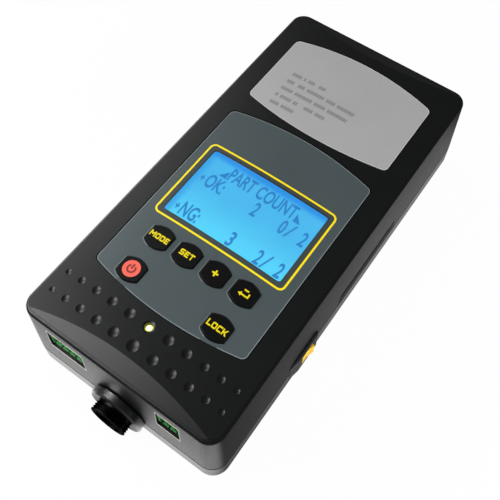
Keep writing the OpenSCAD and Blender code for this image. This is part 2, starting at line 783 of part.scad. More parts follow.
module display_ribbon() color("#9b9fa3")
    let (top_y = -6, low_y = -30, t = 1.1) {
        span(-11, 11, top_y - 2.5, top_y + 2.5, dboard_low - 5, dboard_low);
        span(-11, 11, low_y - 2.5, low_y + 2.5, mboard_top, mboard_top + 5);
        rotate([90, 0, 90]) linear_extrude(20, center = true)
            polygon([[top_y, dboard_low - 4], [top_y, 27], [low_y + t, 21], [low_y + t, mboard_top + 4],
                [low_y, mboard_top + 4], [low_y, 21 + t], [top_y - t, 27 + t], [top_y - t, dboard_low - 4]]);
    }

place() top_cover();
place() bottom_cover();
place() foot(-1, -1);  // foot_front_left
place() foot(1, -1);  // foot_front_right
place() foot(-1, 1);  // foot_rear_left
place() foot(1, 1);  // foot_rear_right
place() case_screws();
place() rating_plate();
place() keypad_overlay();
place() display_window();
place() lcd_glass();
place() lcd_frame();
place() lcd_backlight();
place() display_board();
place() display_board_screws();
place() key(-key_x_out, row_a_y);  // key_mode
place() key(-key_x_in, row_a_y);  // key_set
place() key(key_x_in, row_a_y);  // key_plus
place() key(key_x_out, row_a_y);  // key_enter
place() key(-key_x_out, row_b_y);  // key_power
place() key(key_x_out, row_b_y);  // key_lock
place() tact(-key_x_out, row_a_y);  // tact_mode
place() tact(-key_x_in, row_a_y);  // tact_set
place() tact(key_x_in, row_a_y);  // tact_plus
place() tact(key_x_out, row_a_y);  // tact_enter
place() tact(-key_x_out, row_b_y);  // tact_power
place() tact(key_x_out, row_b_y);  // tact_lock
place() plunger(-key_x_out, row_a_y);  // plunger_mode
place() plunger(-key_x_in, row_a_y);  // plunger_set
place() plunger(key_x_in, row_a_y);  // plunger_plus
place() plunger(key_x_out, row_a_y);  // plunger_enter
place() plunger(-key_x_out, row_b_y);  // plunger_power
place() plunger(key_x_out, row_b_y);  // plunger_lock
place() status_led();
place() led_spacer();
place() socket_shell();
place() socket_collar();
place() socket_insert();
place() socket_contacts();
place() header(five_x, 5);  // header_five
place() header_pins(five_x, 5);  // header_five_pins
place() header(three_x, 3);  // header_three
place() header_pins(three_x, 3);  // header_three_pins
place() rocker_frame();
place() rocker();
place() rocker_terminals();
place() power_inlet();
place() inlet_blades();
place() main_board();
place() main_board_screws();
place() transformer_core();
place() transformer_winding();
place() bulk_capacitor();
place() output_capacitor();
place() heat_sink();
place() power_transistor();
place() fuse();
place() fuse_clips();
place() choke();
place() display_ribbon();
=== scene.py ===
"""Looks of the fastening counter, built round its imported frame.

The frame brings every solid at its real size. This script gives each of them the
finish of its real material. It models the six key caps and the two printed sheets,
which take the places of their own solids, the legends on the keys and the
characters of the display, and it sets up a plain studio.
"""
import json
import logging
import math
from dataclasses import dataclass
from enum import Enum
from functools import reduce
from typing import Callable, Sequence

import bpy
from bpy.types import Material, Node, NodeSocket, Object, World
from mathutils import Euler, Matrix, Vector


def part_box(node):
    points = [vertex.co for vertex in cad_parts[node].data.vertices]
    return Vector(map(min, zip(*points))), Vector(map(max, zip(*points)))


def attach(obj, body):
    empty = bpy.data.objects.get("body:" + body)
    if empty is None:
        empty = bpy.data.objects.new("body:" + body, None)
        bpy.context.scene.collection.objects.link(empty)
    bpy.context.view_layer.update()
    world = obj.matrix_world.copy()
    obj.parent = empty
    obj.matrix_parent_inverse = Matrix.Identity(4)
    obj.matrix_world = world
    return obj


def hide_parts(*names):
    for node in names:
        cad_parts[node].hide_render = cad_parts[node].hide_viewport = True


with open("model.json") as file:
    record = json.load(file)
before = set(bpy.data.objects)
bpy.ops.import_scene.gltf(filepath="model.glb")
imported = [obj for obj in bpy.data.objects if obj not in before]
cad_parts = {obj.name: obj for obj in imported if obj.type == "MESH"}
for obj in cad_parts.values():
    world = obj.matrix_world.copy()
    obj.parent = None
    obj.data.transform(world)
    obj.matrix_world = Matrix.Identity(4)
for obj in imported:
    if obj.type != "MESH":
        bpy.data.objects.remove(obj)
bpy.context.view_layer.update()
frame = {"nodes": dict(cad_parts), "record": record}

LOG = logging.getLogger("fastening_counter")
MM = 0.001
Inputs = dict[str | int, object]
# The two ends of a span, or X and Y of a point or size
Pair = tuple[float, float]
Triple = tuple[float, float, float]
# Left, front, right and rear edge
Box = tuple[float, float, float, float]
Outline = Sequence[Pair]
Colour = tuple[float, float, float, float]

# Points closer than this are one point, in metres
TOUCHING = 0.001 * MM
# Upward part of a face's normal from which it counts as a top
TOP_FACE = 0.9
# Edges flatter than this are shaded smooth, in degrees
SMOOTH_BELOW = 30
# Where nearly all values of a noise lie
NOISE_SPAN = (0.25, 0.75)
# Strength of the mirrored light on a clean surface
FULL_SHINE = 0.5
# Colour of the display's parts under their own light
UNLIT = "0b1114"
WHITE = (1.0, 1.0, 1.0, 1.0)


# The case

@dataclass(frozen=True)
class Case:
    """Where the case stands in the frame, and the crown of its top."""

    centre: Vector
    apex: float
    crown_radius: float = 367.13 * MM

    def on_crown(self, x: float, y: float) -> Matrix:
        """Gives the turn and move that stand a thing on the crowned top.

        Args:
            x: Distance to the right of the case's middle, in millimetres.
            y: Distance to the rear of it.

        Returns:
            The matrix for a thing that is modelled at the origin.
        """
        axis_height = self.apex - self.crown_radius
        tilt = Matrix.Rotation(math.asin(x * MM / self.crown_radius), 4, "Y")
        to_axis = Matrix.Translation((self.centre.x, self.centre.y + y * MM, axis_height))
        return to_axis @ tilt @ Matrix.Translation((0, 0, self.crown_radius))

    def round_off(self, piece: Object) -> None:
        """Shades a sheet's upper face as the smooth crown that it follows.

        Args:
            piece: The sheet, whose other faces keep the shading that they have.
        """
        mesh = piece.data
        normals = [Vector((0, 0, 0)) for _ in mesh.loops]
        for face in mesh.polygons:
            for loop in face.loop_indices:
                if face.normal.z > TOP_FACE:
                    point = mesh.vertices[mesh.loops[loop].vertex_index].co
                    slope = (point.x - self.centre.x) / self.crown_radius
                    normals[loop] = Vector((slope, 0, math.sqrt(1 - slope * slope)))
        mesh.normals_split_custom_set(normals)

    @staticmethod
    def from_frame() -> "Case":
        """Reads the case's middle and height off the top cover."""
        low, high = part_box("top_cover")
        return Case(Vector(((low[0] + high[0]) / 2, (low[1] + high[1]) / 2, 0.0)), high[2])


CASE = Case.from_frame()


# Shaders

def srgb(code: str) -> Colour:
    """Turns a colour as a screen shows it into the linear one that a shader takes.

    Args:
        code: Six hexadecimal digits, red first.

    Returns:
        Red, green, blue and an alpha of 1.
    """
    parts = [int(code[i:i + 2], 16) / 255 for i in (0, 2, 4)]
    linear = [c / 12.92 if c <= 0.04045 else ((c + 0.055) / 1.055) ** 2.4 for c in parts]
    return (*linear, 1.0)


class Graph:
    """The node tree of a material or of the world."""

    def __init__(self, owner: Material | World) -> None:
        """Empties the tree.

        Args:
            owner: The material or world whose tree it is.
        """
        owner.use_nodes = True
        self.tree = owner.node_tree
        self.tree.nodes.clear()

    def add(self, kind: str, inputs: Inputs | None = None, **settings: object) -> Node:
        """Adds a node with its settings and links.

        Args:
            kind: Blender's name for the node, without its "ShaderNode".
            inputs: What each input takes, by its name or number: a value, a socket, or a
                node whose first output is meant.
            settings: Properties of the node itself, such as its operation.

        Returns:
            The new node.
        """
        node = self.tree.nodes.new("ShaderNode" + kind)
        for name, value in settings.items():
            setattr(node, name, value)
        for key, value in (inputs or {}).items():
            if isinstance(value, Node):
                value = value.outputs[0]
            if isinstance(value, NodeSocket):
                self.tree.links.new(value, node.inputs[key])
            else:
                node.inputs[key].default_value = value
        return node

    def math(self, operation: str, *values: object) -> Node:
        """Works a number out of numbers, sockets or nodes."""
        return self.add("Math", dict(enumerate(values)), operation=operation)

    def vector(self, operation: str, *values: object) -> Node:
        """Works a vector out of vectors; a length or a dot product is the output "Value"."""
        return self.add("VectorMath", dict(enumerate(values)), operation=operation)

    def product(self, *factors: object) -> object:
        """Multiplies numbers, sockets or nodes."""
        return reduce(lambda result, factor: self.math("MULTIPLY", result, factor), factors)

    def scaled(self, vector: object, factor: object) -> Node:
        """Draws a vector or a colour out by a factor."""
        return self.add("VectorMath", {0: vector, "Scale": factor}, operation="SCALE")

    def place_mm(self, from_middle: bool = False) -> Node:
        """Gives the place in millimetres, from the frame's origin or from the case's middle."""
        place = self.add("TexCoord").outputs["Object"]
        return self.scaled(self.vector("SUBTRACT", place, CASE.centre) if from_middle else place, 1 / MM)

    def axes(self, place: object) -> list[NodeSocket]:
        """Takes a place apart into X, Y and Z."""
        return list(self.add("SeparateXYZ", {0: place}).outputs)

    def noise(self, place: object, scale: float, detail: float = 2.0) -> Node:
        """Adds a soft noise, with so many spots along a millimetre."""
        return self.add("TexNoise", {"Vector": place, "Scale": scale, "Detail": detail})

    def bump(self, height: object, strength: float, depth_mm: float) -> Node:
        """Turns a height into a relief of the surface."""
        return self.add("Bump", {"Height": height, "Strength": strength, "Distance": depth_mm * MM})

    def ranged(self, value: object, to: tuple[object, object], span: Pair = (0.0, 1.0)) -> Node:
        """Goes evenly from one value to another, as a value goes through a span."""
        return self.add("MapRange", {"Value": value, "From Min": span[0], "From Max": span[1],
                                     "To Min": to[0], "To Max": to[1]})

    def step(self, value: object, low: float, high: float) -> Node:
        """Rises smoothly from 0, where a value is low, to 1, where it is high."""
        return self.add("MapRange", {"Value": value, "From Min": low, "From Max": high},
                        interpolation_type="SMOOTHSTEP")

    def between(self, value: object, span: Pair) -> object:
        """Gives 1 where a value lies in a span, and 0 elsewhere."""
        return self.product(self.math("GREATER_THAN", value, span[0]), self.math("LESS_THAN", value, span[1]))

    def blend(self, share: object, first: object, second: object) -> NodeSocket:
        """Goes from a first colour to a second one, as a share goes from 0 to 1."""
        return self.add("Mix", {0: share, 6: first, 7: second}, data_type="RGBA").outputs[2]

    def tinted(self, colour: object, noise: object, drift: float) -> Node:
        """Lets a colour drift by some share to lighter and darker with a noise."""
        value = colour[:3] if isinstance(colour, tuple) else colour
        return self.scaled(value, self.ranged(noise, (1 - drift, 1 + drift), NOISE_SPAN))

    def rounded_distance(self, place: object, middle: Pair, half: Pair, radius: float) -> Node:
        """Measures how far a point is outside a rounded rectangle, seen from above.

        Args:
            place: The point in millimetres.
            middle: Middle of the rectangle.
            half: Half its width and length.
            radius: Radius of its corners.

        Returns:
            The node whose value is 0 on the outline and -radius well inside it.
        """
        flat = self.vector("MULTIPLY", place, (1.0, 1.0, 0.0))
        folded = self.vector("ABSOLUTE", self.vector("SUBTRACT", flat, (*middle, 0.0)))
        past_core = self.vector("SUBTRACT", folded, (half[0] - radius, half[1] - radius, 0.0))
        outside = self.vector("MAXIMUM", past_core, (0.0, 0.0, 0.0))
        return self.math("SUBTRACT", self.vector("LENGTH", outside).outputs["Value"], radius)


# Finishes

@dataclass(frozen=True)
class Finish:
    """What a surface is made of and how it was made; its places are in millimetres from the case's middle."""

    name: str
    colour: str

    def inputs(self, graph: Graph) -> Inputs:
        """Gives what the Principled shader takes, which each kind of finish says for itself."""
        raise NotImplementedError

    def material(self) -> Material:
        """Makes the finish as a material.

        Returns:
            The new material.
        """
        made = bpy.data.materials.new(self.name)
        graph = Graph(made)
        graph.add("OutputMaterial", {"Surface": graph.add("BsdfPrincipled", self.inputs(graph))})
        return made


@dataclass(frozen=True)
class MouldedPlastic(Finish):
    """Moulded plastic or rubber: a fine eroded grain breaks the sheen up, and the colour drifts a little."""

    roughness: float = 0.45
    grain_mm: float = 0.5
    grain_depth: float = 0.1
    drift: float = 0.08
    ior: float = 1.5
    rough_spread: float = 0.05
    grain_span: Pair = (0.3, 0.7)

    def worked(self, graph: Graph, colour: object) -> object:
        """Paints light or shade into the colour: nowhere, unless a finish says so."""
        return colour

    def shine(self, graph: Graph) -> object:
        """Gives the strength of the mirrored light: the same all over, unless a finish says otherwise."""
        return FULL_SHINE

    def inputs(self, graph: Graph) -> Inputs:
        """Builds the nodes.

        Args:
            graph: The material's tree.

        Returns:
            What the Principled shader takes.
        """
        place = graph.place_mm()
        cloud = graph.noise(place, 0.05, 3.0)
        grain = graph.noise(place, 1 / self.grain_mm)
        rough = (self.roughness - self.rough_spread, self.roughness + self.rough_spread)
        return {"Base Color": self.worked(graph, graph.tinted(srgb(self.colour), cloud, self.drift)),
                "Roughness": graph.ranged(grain, rough, self.grain_span), "IOR": self.ior,
                "Normal": graph.bump(grain, self.grain_depth, 0.05), "Specular IOR Level": self.shine(graph)}


@dataclass(frozen=True)
class MilledPlastic(MouldedPlastic):
    """Moulded plastic with painted light: pale lines round the openings are a painted highlight on their
    edges, and a dulled band in the finger recess is painted shade under its upper edge.
    """

    openings: tuple[Pair, ...] = ((-24.5, 8.85), (24.8, 5.35))
    opening_z: Pair = (26.7, 38.6)
    opening_corner: float = 0.1
    front_y: float = -95.0
    # Pale colour of the painted highlight round the openings, then the width, fade and start of that band
    lip_colour: str = "c6c1ae"
    lip_mm: float = 1.5
    lip_fade: float = 0.7
    lip_start: Pair = (0.01, 0.05)
    flatten: float = 0.3
    # Box of the band of painted shade in the finger recess, where X has the lean of the wall taken out
    recess_x: Pair = (40.0, 47.16)
    recess_y: Pair = (-11.0, 36.0)
    recess_z: Pair = (14.6, 19.9)
    wall_lean: float = 0.0272
    # Strength of the mirrored light in that band, low for the painted shade
    dull: float = 0.03

    def worked(self, graph: Graph, colour: object) -> object:
        """Paints a pale highlight along the edges above and below each opening.

        Args:
            graph: The material's tree.
            colour: The plastic's own colour.

        Returns:
            The colour with the painted highlight in it.
        """
        x, y, z = graph.axes(graph.place_mm(from_middle=True))
        upright = graph.add("CombineXYZ", {0: x, 1: graph.product(z, self.flatten)})
        low_z, high_z = self.opening_z
        wide = self.lip_mm * self.flatten
        lips = 0.0
        for middle_x, half_x in self.openings:
            middle = (middle_x, (low_z + high_z) / 2 * self.flatten)
            half = (half_x, (high_z - low_z) / 2 * self.flatten)
            distance = graph.rounded_distance(upright, middle, half, self.opening_corner)
            fading = graph.step(distance, wide, wide * self.lip_fade)
            lips = graph.math("MAXIMUM", lips, graph.product(fading, graph.step(distance, *self.lip_start)))
        # The painted highlight lies only in front of the front wall
        outside = graph.math("LESS_THAN", y, self.front_y)
        return graph.blend(graph.product(lips, outside), colour, srgb(self.lip_colour))

    def shine(self, graph: Graph) -> object:
        """Dulls a band inside the finger recess under its sharp upper edge, as painted shade where that edge
        would throw its shadow.

        Args:
            graph: The material's tree.

        Returns:
            The strength of the mirrored light.
        """
        x, y, z = graph.axes(graph.place_mm(from_middle=True))
        upright_x = graph.math("MULTIPLY_ADD", z, self.wall_lean, x)
        spans = ((upright_x, self.recess_x), (y, self.recess_y), (z, self.recess_z))
        return graph.ranged(graph.product(*(graph.between(*pair) for pair in spans)), (FULL_SHINE, self.dull))


@dataclass(frozen=True)
class SeamedPlastic(MouldedPlastic):
    """Moulded plastic whose upper rim lies in the seam's gap, painted dark there as the gap's shade."""

    rim_z: Pair = (11.88, 11.98)
    # Near-black of the painted shade in the seam's gap
    dust_colour: str = "050505"

    def worked(self, graph: Graph, colour: object) -> object:
        """Paints shade over everything above the rim's height."""
        height = graph.axes(graph.place_mm())[2]
        return graph.blend(graph.step(height, *self.rim_z), colour, srgb(self.dust_colour))


@dataclass(frozen=True)
class Metal(Finish):
    """Bare or plated metal: a grain drawn out along one axis stretches its highlights."""

    roughness: float = 0.3
    grain_mm: float = 0.25
    stretch: Triple = (0.04, 1.0, 1.0)
    edge_colour: str = "ffffff"
    rough_spread: float = 0.3

    def inputs(self, graph: Graph) -> Inputs:
        """Builds the nodes.

        Args:
            graph: The material's tree.

        Returns:
            What the Principled shader takes.
        """
        along = graph.add("Mapping", {"Vector": graph.place_mm(), "Scale": self.stretch})
        grain = graph.noise(along, 1 / self.grain_mm)
        rough = (self.roughness * (1 - self.rough_spread), self.roughness * (1 + self.rough_spread))
        return {"Base Color": graph.tinted(srgb(self.colour), grain, 0.12), "Metallic": 1.0,
                "Specular Tint": srgb(self.edge_colour), "Roughness": graph.ranged(grain, rough)}


@dataclass(frozen=True)
class ClearPane(Finish):
    """Clear sheet or tube: polished, mirrors the room faintly, and is wiped a little unevenly."""

    ior: float = 1.5
    roughness: Pair = (0.015, 0.045)

    def inputs(self, graph: Graph) -> Inputs:
        """Gives the shader a clear body and a polish that a noise makes uneven."""
        haze = graph.noise(graph.place_mm(), 0.2)
        return {"Base Color": srgb(self.colour), "Roughness": graph.ranged(haze, self.roughness),
                "IOR": self.ior, "Transmission Weight": 1.0}


@dataclass(frozen=True)
class Striped(Finish):
    """Something laid side by side, such as wound wire, tape or ribbon: dark lines part its turns."""

    line_colour: str
    pitch_mm: float
    across: Triple
    roughness: float = 0.35
    metallic: float = 0.0
    line_share: float = 0.35

    def inputs(self, graph: Graph) -> Inputs:
        """Builds the nodes.

        Args:
            graph: The material's tree.

        Returns:
            What the Principled shader takes.
        """
        place = graph.place_mm()
        way = graph.vector("DOT_PRODUCT", place, self.across).outputs["Value"]
        turn = graph.math("PINGPONG", way, self.pitch_mm / 2)
        round_top = graph.step(turn, 0.0, self.pitch_mm * self.line_share)
        colour = graph.blend(round_top, srgb(self.line_colour), srgb(self.colour))
        return {"Base Color": graph.tinted(colour, graph.noise(place, 0.8), 0.1), "Roughness": self.roughness,
                "Metallic": self.metallic, "Normal": graph.bump(round_top, 0.5, 0.15)}


@dataclass(frozen=True)
class CircuitBoard(Finish):
    """Glass-fibre board under solder resist: faint copper tracks show through as lighter lines."""

    track_colour: str = "2b6a38"
    track_mm: float = 2.2
    track_edge: Pair = (0.42, 0.5)

    def inputs(self, graph: Graph) -> Inputs:
        """Builds the nodes.

        Args:
            graph: The material's tree.

        Returns:
            What the Principled shader takes.
        """
        layout = {"Vector": graph.place_mm(), "Scale": 1 / self.track_mm, "Randomness": 0.6}
        cells = graph.add("TexVoronoi", layout, distance="MANHATTAN", feature="F1")
        track = graph.step(cells.outputs["Distance"], *self.track_edge)
        return {"Base Color": graph.blend(track, srgb(self.colour), srgb(self.track_colour)),
                "Roughness": 0.3, "IOR": 1.5, "Normal": graph.bump(track, 0.3, 0.05)}


@dataclass(frozen=True)
class Ink(Finish):
    """Screen-printed ink: opaque and matt, a little uneven in its cover."""

    def inputs(self, graph: Graph) -> Inputs:
        """Gives the shader a matt colour that a noise makes uneven."""
        cover = graph.noise(graph.place_mm(), 3.0)
        return {"Base Color": graph.tinted(srgb(self.colour), cover, 0.06), "Roughness": 0.55}


@dataclass(frozen=True)
class PrintedFilm(Finish):
    """Matt polyester film printed on its back: slate grey, darker inside a yellow line round the display."""

    band_colour: str = "3c4343"
    line_colour: str = "fbe000"
    line_middle: Pair = (0.0, -13.675)
    line_half: Pair = (31.35, 20.175)
    line_radius: float = 2.3
    line_width: float = 0.85
    softness: float = 0.08

    def inputs(self, graph: Graph) -> Inputs:
        """Builds the nodes.

        Args:
            graph: The material's tree.

        Returns:
            What the Principled shader takes.
        """
        place = graph.place_mm(from_middle=True)
        grain = graph.noise(place, 4.0)
        distance = graph.rounded_distance(place, self.line_middle, self.line_half, self.line_radius)
        edge = self.line_width / 2
        bare = graph.step(graph.math("ABSOLUTE", distance), edge - self.softness, edge + self.softness)
        inside = graph.step(distance, 0.0, -self.softness)
        ground = graph.blend(inside, srgb(self.colour), srgb(self.band_colour))
        film = graph.tinted(graph.tinted(ground, grain, 0.03), graph.noise(place, 0.04), 0.05)
        return {"Base Color": graph.blend(bare, srgb(self.line_colour), film), "Roughness": 0.42, "IOR": 1.5,
                "Normal": graph.bump(grain, 0.06, 0.03)}


@dataclass(frozen=True)
class PrintedPlate(Finish):
    """Satin silver-grey plate: fine sparkle, and five faint rows of small print drawn as plain blocks."""

    ink_colour: str = "707070"
    ink_cover: float = 0.75
    first_row: float = 58.9
    row_pitch: float = 4.725
    row_height: float = 1.9
    left_end: float = -25.75
    right_ends: tuple[float, ...] = (-8.1, 9.7, 8.75, 0.3, -13.1)
    block_mm: float = 1.15
    block_share: float = 0.82
    blank_share: float = 0.16

    def ink_at(self, graph: Graph, place: Node) -> object:
        """Sets the rows of print.

        Args:
            graph: The material's tree.
            place: The place in millimetres from the case's middle.

        Returns:
            How much ink covers the plate.
        """
        x, y, _ = graph.axes(place)
        down = graph.math("SUBTRACT", self.first_row + self.row_pitch / 2, y)
        row_at = graph.math("DIVIDE", down, self.row_pitch)
        row = graph.math("FLOOR", row_at)
        off_row = graph.math("ABSOLUTE", graph.math("SUBTRACT", graph.math("FRACT", row_at), 0.5))
        printed = 0.0
        for number, right_end in enumerate(self.right_ends):
            this_row = graph.math("COMPARE", row, float(number), 0.1)
            line = graph.between(x, (self.left_end, right_end))
            printed = graph.math("ADD", printed, graph.product(this_row, line))
        block_at = graph.math("DIVIDE", x, self.block_mm)
        stroke = graph.add("CombineXYZ", {0: graph.math("FLOOR", block_at), 1: row})
        chance = graph.add("TexWhiteNoise", {"Vector": stroke}, noise_dimensions="2D")
        in_row = graph.math("LESS_THAN", off_row, self.row_height / self.row_pitch / 2)
        inked = graph.math("GREATER_THAN", chance, self.blank_share)
        in_block = graph.math("LESS_THAN", graph.math("FRACT", block_at), self.block_share)
        return graph.product(printed, in_row, inked, in_block, self.ink_cover)

    def inputs(self, graph: Graph) -> Inputs:
        """Builds the nodes.

        Args:
            graph: The material's tree.

        Returns:
            What the Principled shader takes.
        """
        place = graph.place_mm(from_middle=True)
        sparkle = graph.noise(place, 2.6, 3.0)
        base = graph.tinted(graph.tinted(srgb(self.colour), sparkle, 0.07), graph.noise(place, 0.05), 0.03)
        return {"Base Color": graph.blend(self.ink_at(graph, place), base, srgb(self.ink_colour)),
                "Roughness": 0.5, "IOR": 1.5, "Normal": graph.bump(sparkle, 0.08, 0.03)}


@dataclass(frozen=True)
class Lit(Finish):
    """Something that shines by itself: a character of the display glows in one colour, a little unevenly."""

    strength: float = 1.05
    dark_colour: str = UNLIT
    roughness: float = 0.35

    def glow(self, graph: Graph) -> object:
        """Gives the colour of the light."""
        return graph.tinted(srgb(self.colour), graph.noise(graph.place_mm(), 0.5), 0.05)

    def inputs(self, graph: Graph) -> Inputs:
        """Gives the shader its dark look and its light."""
        return {"Base Color": srgb(self.dark_colour), "Roughness": self.roughness,
                "Emission Color": self.glow(graph), "Emission Strength": self.strength}


@dataclass(frozen=True)
class LitDisplay(Lit):
    """Back-lit liquid crystal: cyan, with painted shade that deepens it to blue along its upper (rear) and
    left edges, where the window's rim shades the glass.
    """

    lower: str = "5cd8fc"
    # Blues of the painted shade along the rear and the left edge
    upper: str = "2f93ea"
    side: str = "3fa8ec"
    lower_y: Pair = (-9.5, -31.2)
    upper_y: Pair = (0.8, 3.9)
    side_x: Pair = (-25.25, -28.05)
    upper_share: float = 0.9
    side_share: float = 0.8

    def glow(self, graph: Graph) -> object:
        """Gives the colour of the light.

        Args:
            graph: The material's tree.

        Returns:
            The colour, which drifts with a soft noise.
        """
        place = graph.place_mm(from_middle=True)
        x, y, _ = graph.axes(place)
        colour = srgb(self.colour)
        # Lighter towards the front, then the painted shade along the left and the rear edge
        for axis, span, share, shade in ((y, self.lower_y, 1.0, self.lower),
                                         (x, self.side_x, self.side_share, self.side),
                                         (y, self.upper_y, self.upper_share, self.upper)):
            colour = graph.blend(graph.product(graph.step(axis, *span), share), colour, srgb(shade))
        return graph.tinted(colour, graph.noise(place, 0.09), 0.04)


@dataclass(frozen=True)
class LitLamp(Lit):
    """Status lamp: milky resin with a white-hot middle and a yellow-green rim."""

    rim_colour: str = "d4dc3c"
    rim_mm: Pair = (0.8, 1.2)

    def glow(self, graph: Graph) -> object:
        """Gives the colour of the light.

        Args:
            graph: The material's tree.

        Returns:
            The colour, which changes with the distance from the lamp's middle.
        """
        low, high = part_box("status_led")
        middle = ((low[0] + high[0]) / 2 / MM, (low[1] + high[1]) / 2 / MM)
        out = graph.rounded_distance(graph.place_mm(), middle, (0.0, 0.0), 0.0)
        return graph.blend(graph.step(out, *self.rim_mm), srgb(self.colour), srgb(self.rim_colour))


# One finish for each of the record's material slots
FINISHES: dict[str, Finish] = {
    # Eroded mould, so the black cover looks soft and dry; pale lines round its openings are a painted
    # highlight, and a band in its finger recess is painted shade
    "case_black": MilledPlastic("abs_moulded_milled", "0f1011", 0.4, grain_mm=0.6, grain_depth=0.14),
    # Satin, so the plate is evenly bright from all sides
    "plate_grey": PrintedPlate("satin_grey_plate_printed", "a5a5a5"),
    # Matt slate, which lets the yellow line stand out
    "keypad_sheet": PrintedFilm("polyester_film_printed", "454f51"),
    # Cast acrylic, nearly invisible over the display
    "clear_pane": ClearPane("acrylic_cast", "f4fbff", 1.49),
    # Glows cyan by itself
    "display_cyan": LitDisplay("liquid_crystal_lit", "4fbdf0", 1.06),
    # Milky light guide, slightly soft highlights
    "light_guide": MouldedPlastic("acrylic_milky", "f0f2ee", 0.3, ior=1.49),
    # Tinned sheet, rolled along X
    "tin_plate": Metal("tin_plated_steel", "b4b7b9", 0.3),
    # Dark green with lighter tracks
    "board_green": CircuitBoard("glass_fibre_solder_resist", "12401f"),
    # Soft key rubber, satin
    "key_black": MouldedPlastic("silicone_moulded", "0a0a0b", 0.33, grain_mm=0.3, grain_depth=0.04, ior=1.41),
    # Glass-filled nylon, dull
    "switch_black": MouldedPlastic("nylon_moulded", "1b1c1d", 0.5),
    # Bright zinc, turned heads
    "screw_steel": Metal("zinc_plated_steel", "a4a7a9", 0.28, stretch=(1.0, 1.0, 0.1)),
    # White-hot point with a coloured rim
    "lamp_lens": LitLamp("lamp_resin_lit", "ffffff", 1.3, "e8ecd0", 0.25),
    # Black oxide over brass: darker and sharper than the plastic round it, and dark at its rims too
    "socket_black": Metal("black_oxide_turned", "2c2d2e", 0.25, 0.25, (1.0, 0.1, 1.0), "1c1c1c"),
    # Dull dark grey behind the contacts
    "socket_insulator": MouldedPlastic("thermoset_moulded", "232425", 0.45),
    # Gold flash, turned pins
    "contact_gold": Metal("gold_flashed_brass", "d9b35a", 0.25, stretch=(1.0, 0.1, 1.0)),
    # Green nylon of terminal rows, slightly waxy
    "terminal_green": MouldedPlastic("polyamide_moulded_green", "3d9c4e", 0.42, grain_mm=0.4),
    # Nearly without grain, so the rocker's highlights stay clean
    "rocker_yellow": MouldedPlastic("polycarbonate_moulded_yellow", "ffce1e", 0.35, grain_depth=0.03),
    # Satin black of a moulded inlet
    "inlet_black": MouldedPlastic("thermoplastic_moulded_black", "161718", 0.42),
    # Soft foot rubber, nearly without sheen
    "foot_rubber": MouldedPlastic("rubber_moulded", "121212", 0.75, grain_mm=0.8, grain_depth=0.2),
    # Ground grey core, brushed along Y
    "core_grey": Metal("ferrite_ground", "4a4b4d", 0.5, stretch=(1.0, 0.2, 1.0)),
    # Yellow tape in broad turns
    "winding_tape": Striped("polyester_tape_wound", "d9b62c", "a07f18", 3.0, (0.0, 0.0, 1.0), 0.25),
    # Shrunk sleeve, dark blue and glossy
    "sleeve_blue": Striped("pvc_sleeve_shrunk", "20304f", "18243c", 9.0, (1.0, 0.0, 0.0), 0.2),
    # Bare aluminium with lines from the extruder's die
    "sink_aluminium": Metal("aluminium_extruded", "b8bbbd", 0.35, stretch=(1.0, 1.0, 0.05)),
    # Clear tube with a clean edge
    "fuse_glass": ClearPane("fuse_tube_glass", "f2f8f8"),
    # Lacquered copper, each turn with its own highlight
    "copper_wire": Striped("copper_enamelled_wound", "b5652a", "5c2c10", 0.9, (1.0, 0.0, 0.0), 0.25, 1.0),
    # Grey ribbon, its wires as fine lines
    "ribbon_grey": Striped("pvc_ribbon_cable", "b9bab8", "8d8e8c", 1.27, (1.0, 0.0, 0.0), 0.5),
}

# Nodes whose finish is not the one of their slot
OWN_FINISHES: dict[str, Finish] = {
    # The tray comes from a smoother mould than the cover, so it mirrors the floor more; its grey, paler than
    # the cover's black though both are one plastic, is painted light
    "bottom_cover": SeamedPlastic("abs_moulded_fine", "3a3b3c", 0.28, grain_depth=0.06),
    # The ring against the wall is polished, so a lamp shows in it as a bright sheen
    "socket_collar": Metal("black_chrome_polished", "7c7d7c", 0.26, 0.05, (1.0, 0.5, 1.0)),
    # Paler than the case's black as painted light, standing in for the mirrored light on the wall round it,
    # so the bezel keeps some tone where it mirrors nothing
    "rocker_frame": MouldedPlastic("pa_moulded_matt", "333638", 0.45),
}
YELLOW_INK = Ink("legend_ink_yellow", "e2ce00")
CORAL_INK = Ink("power_ink_coral", "e8604f")
DARK_RED_INK = Ink("power_ink_dark_red", "7c2420")
DRIVEN_SEGMENT = Lit("liquid_crystal_driven", "3186cb")


# Modelling

def only(piece: Object) -> None:
    """Leaves just one piece selected and active.

    Args:
        piece: The piece.
    """
    bpy.ops.object.select_all(action="DESELECT")
    piece.select_set(True)
    bpy.context.view_layer.objects.active = piece


class Part(Enum):
    """What a test selects on a mesh."""

    FACE = "polygons"
    EDGE = "edges"


def pick(piece: Object, part: Part, test: Callable[[object], bool]) -> None:
    """Opens a piece in edit mode with just the faces or edges selected that pass a test.

    Args:
        piece: The piece to open.
        part: Whether faces or edges are tested.
        test: Takes a face or edge and says whether it is wanted.
    """
    only(piece)
    bpy.ops.object.mode_set(mode="EDIT")
    bpy.ops.mesh.select_mode(type=part.name)
    bpy.ops.mesh.select_all(action="DESELECT")
    bpy.ops.object.mode_set(mode="OBJECT")
    for item in getattr(piece.data, part.value):
        item.select = test(item)
    bpy.ops.object.mode_set(mode="EDIT")


def close() -> None:
    """Leaves edit mode."""
    bpy.ops.object.mode_set(mode="OBJECT")


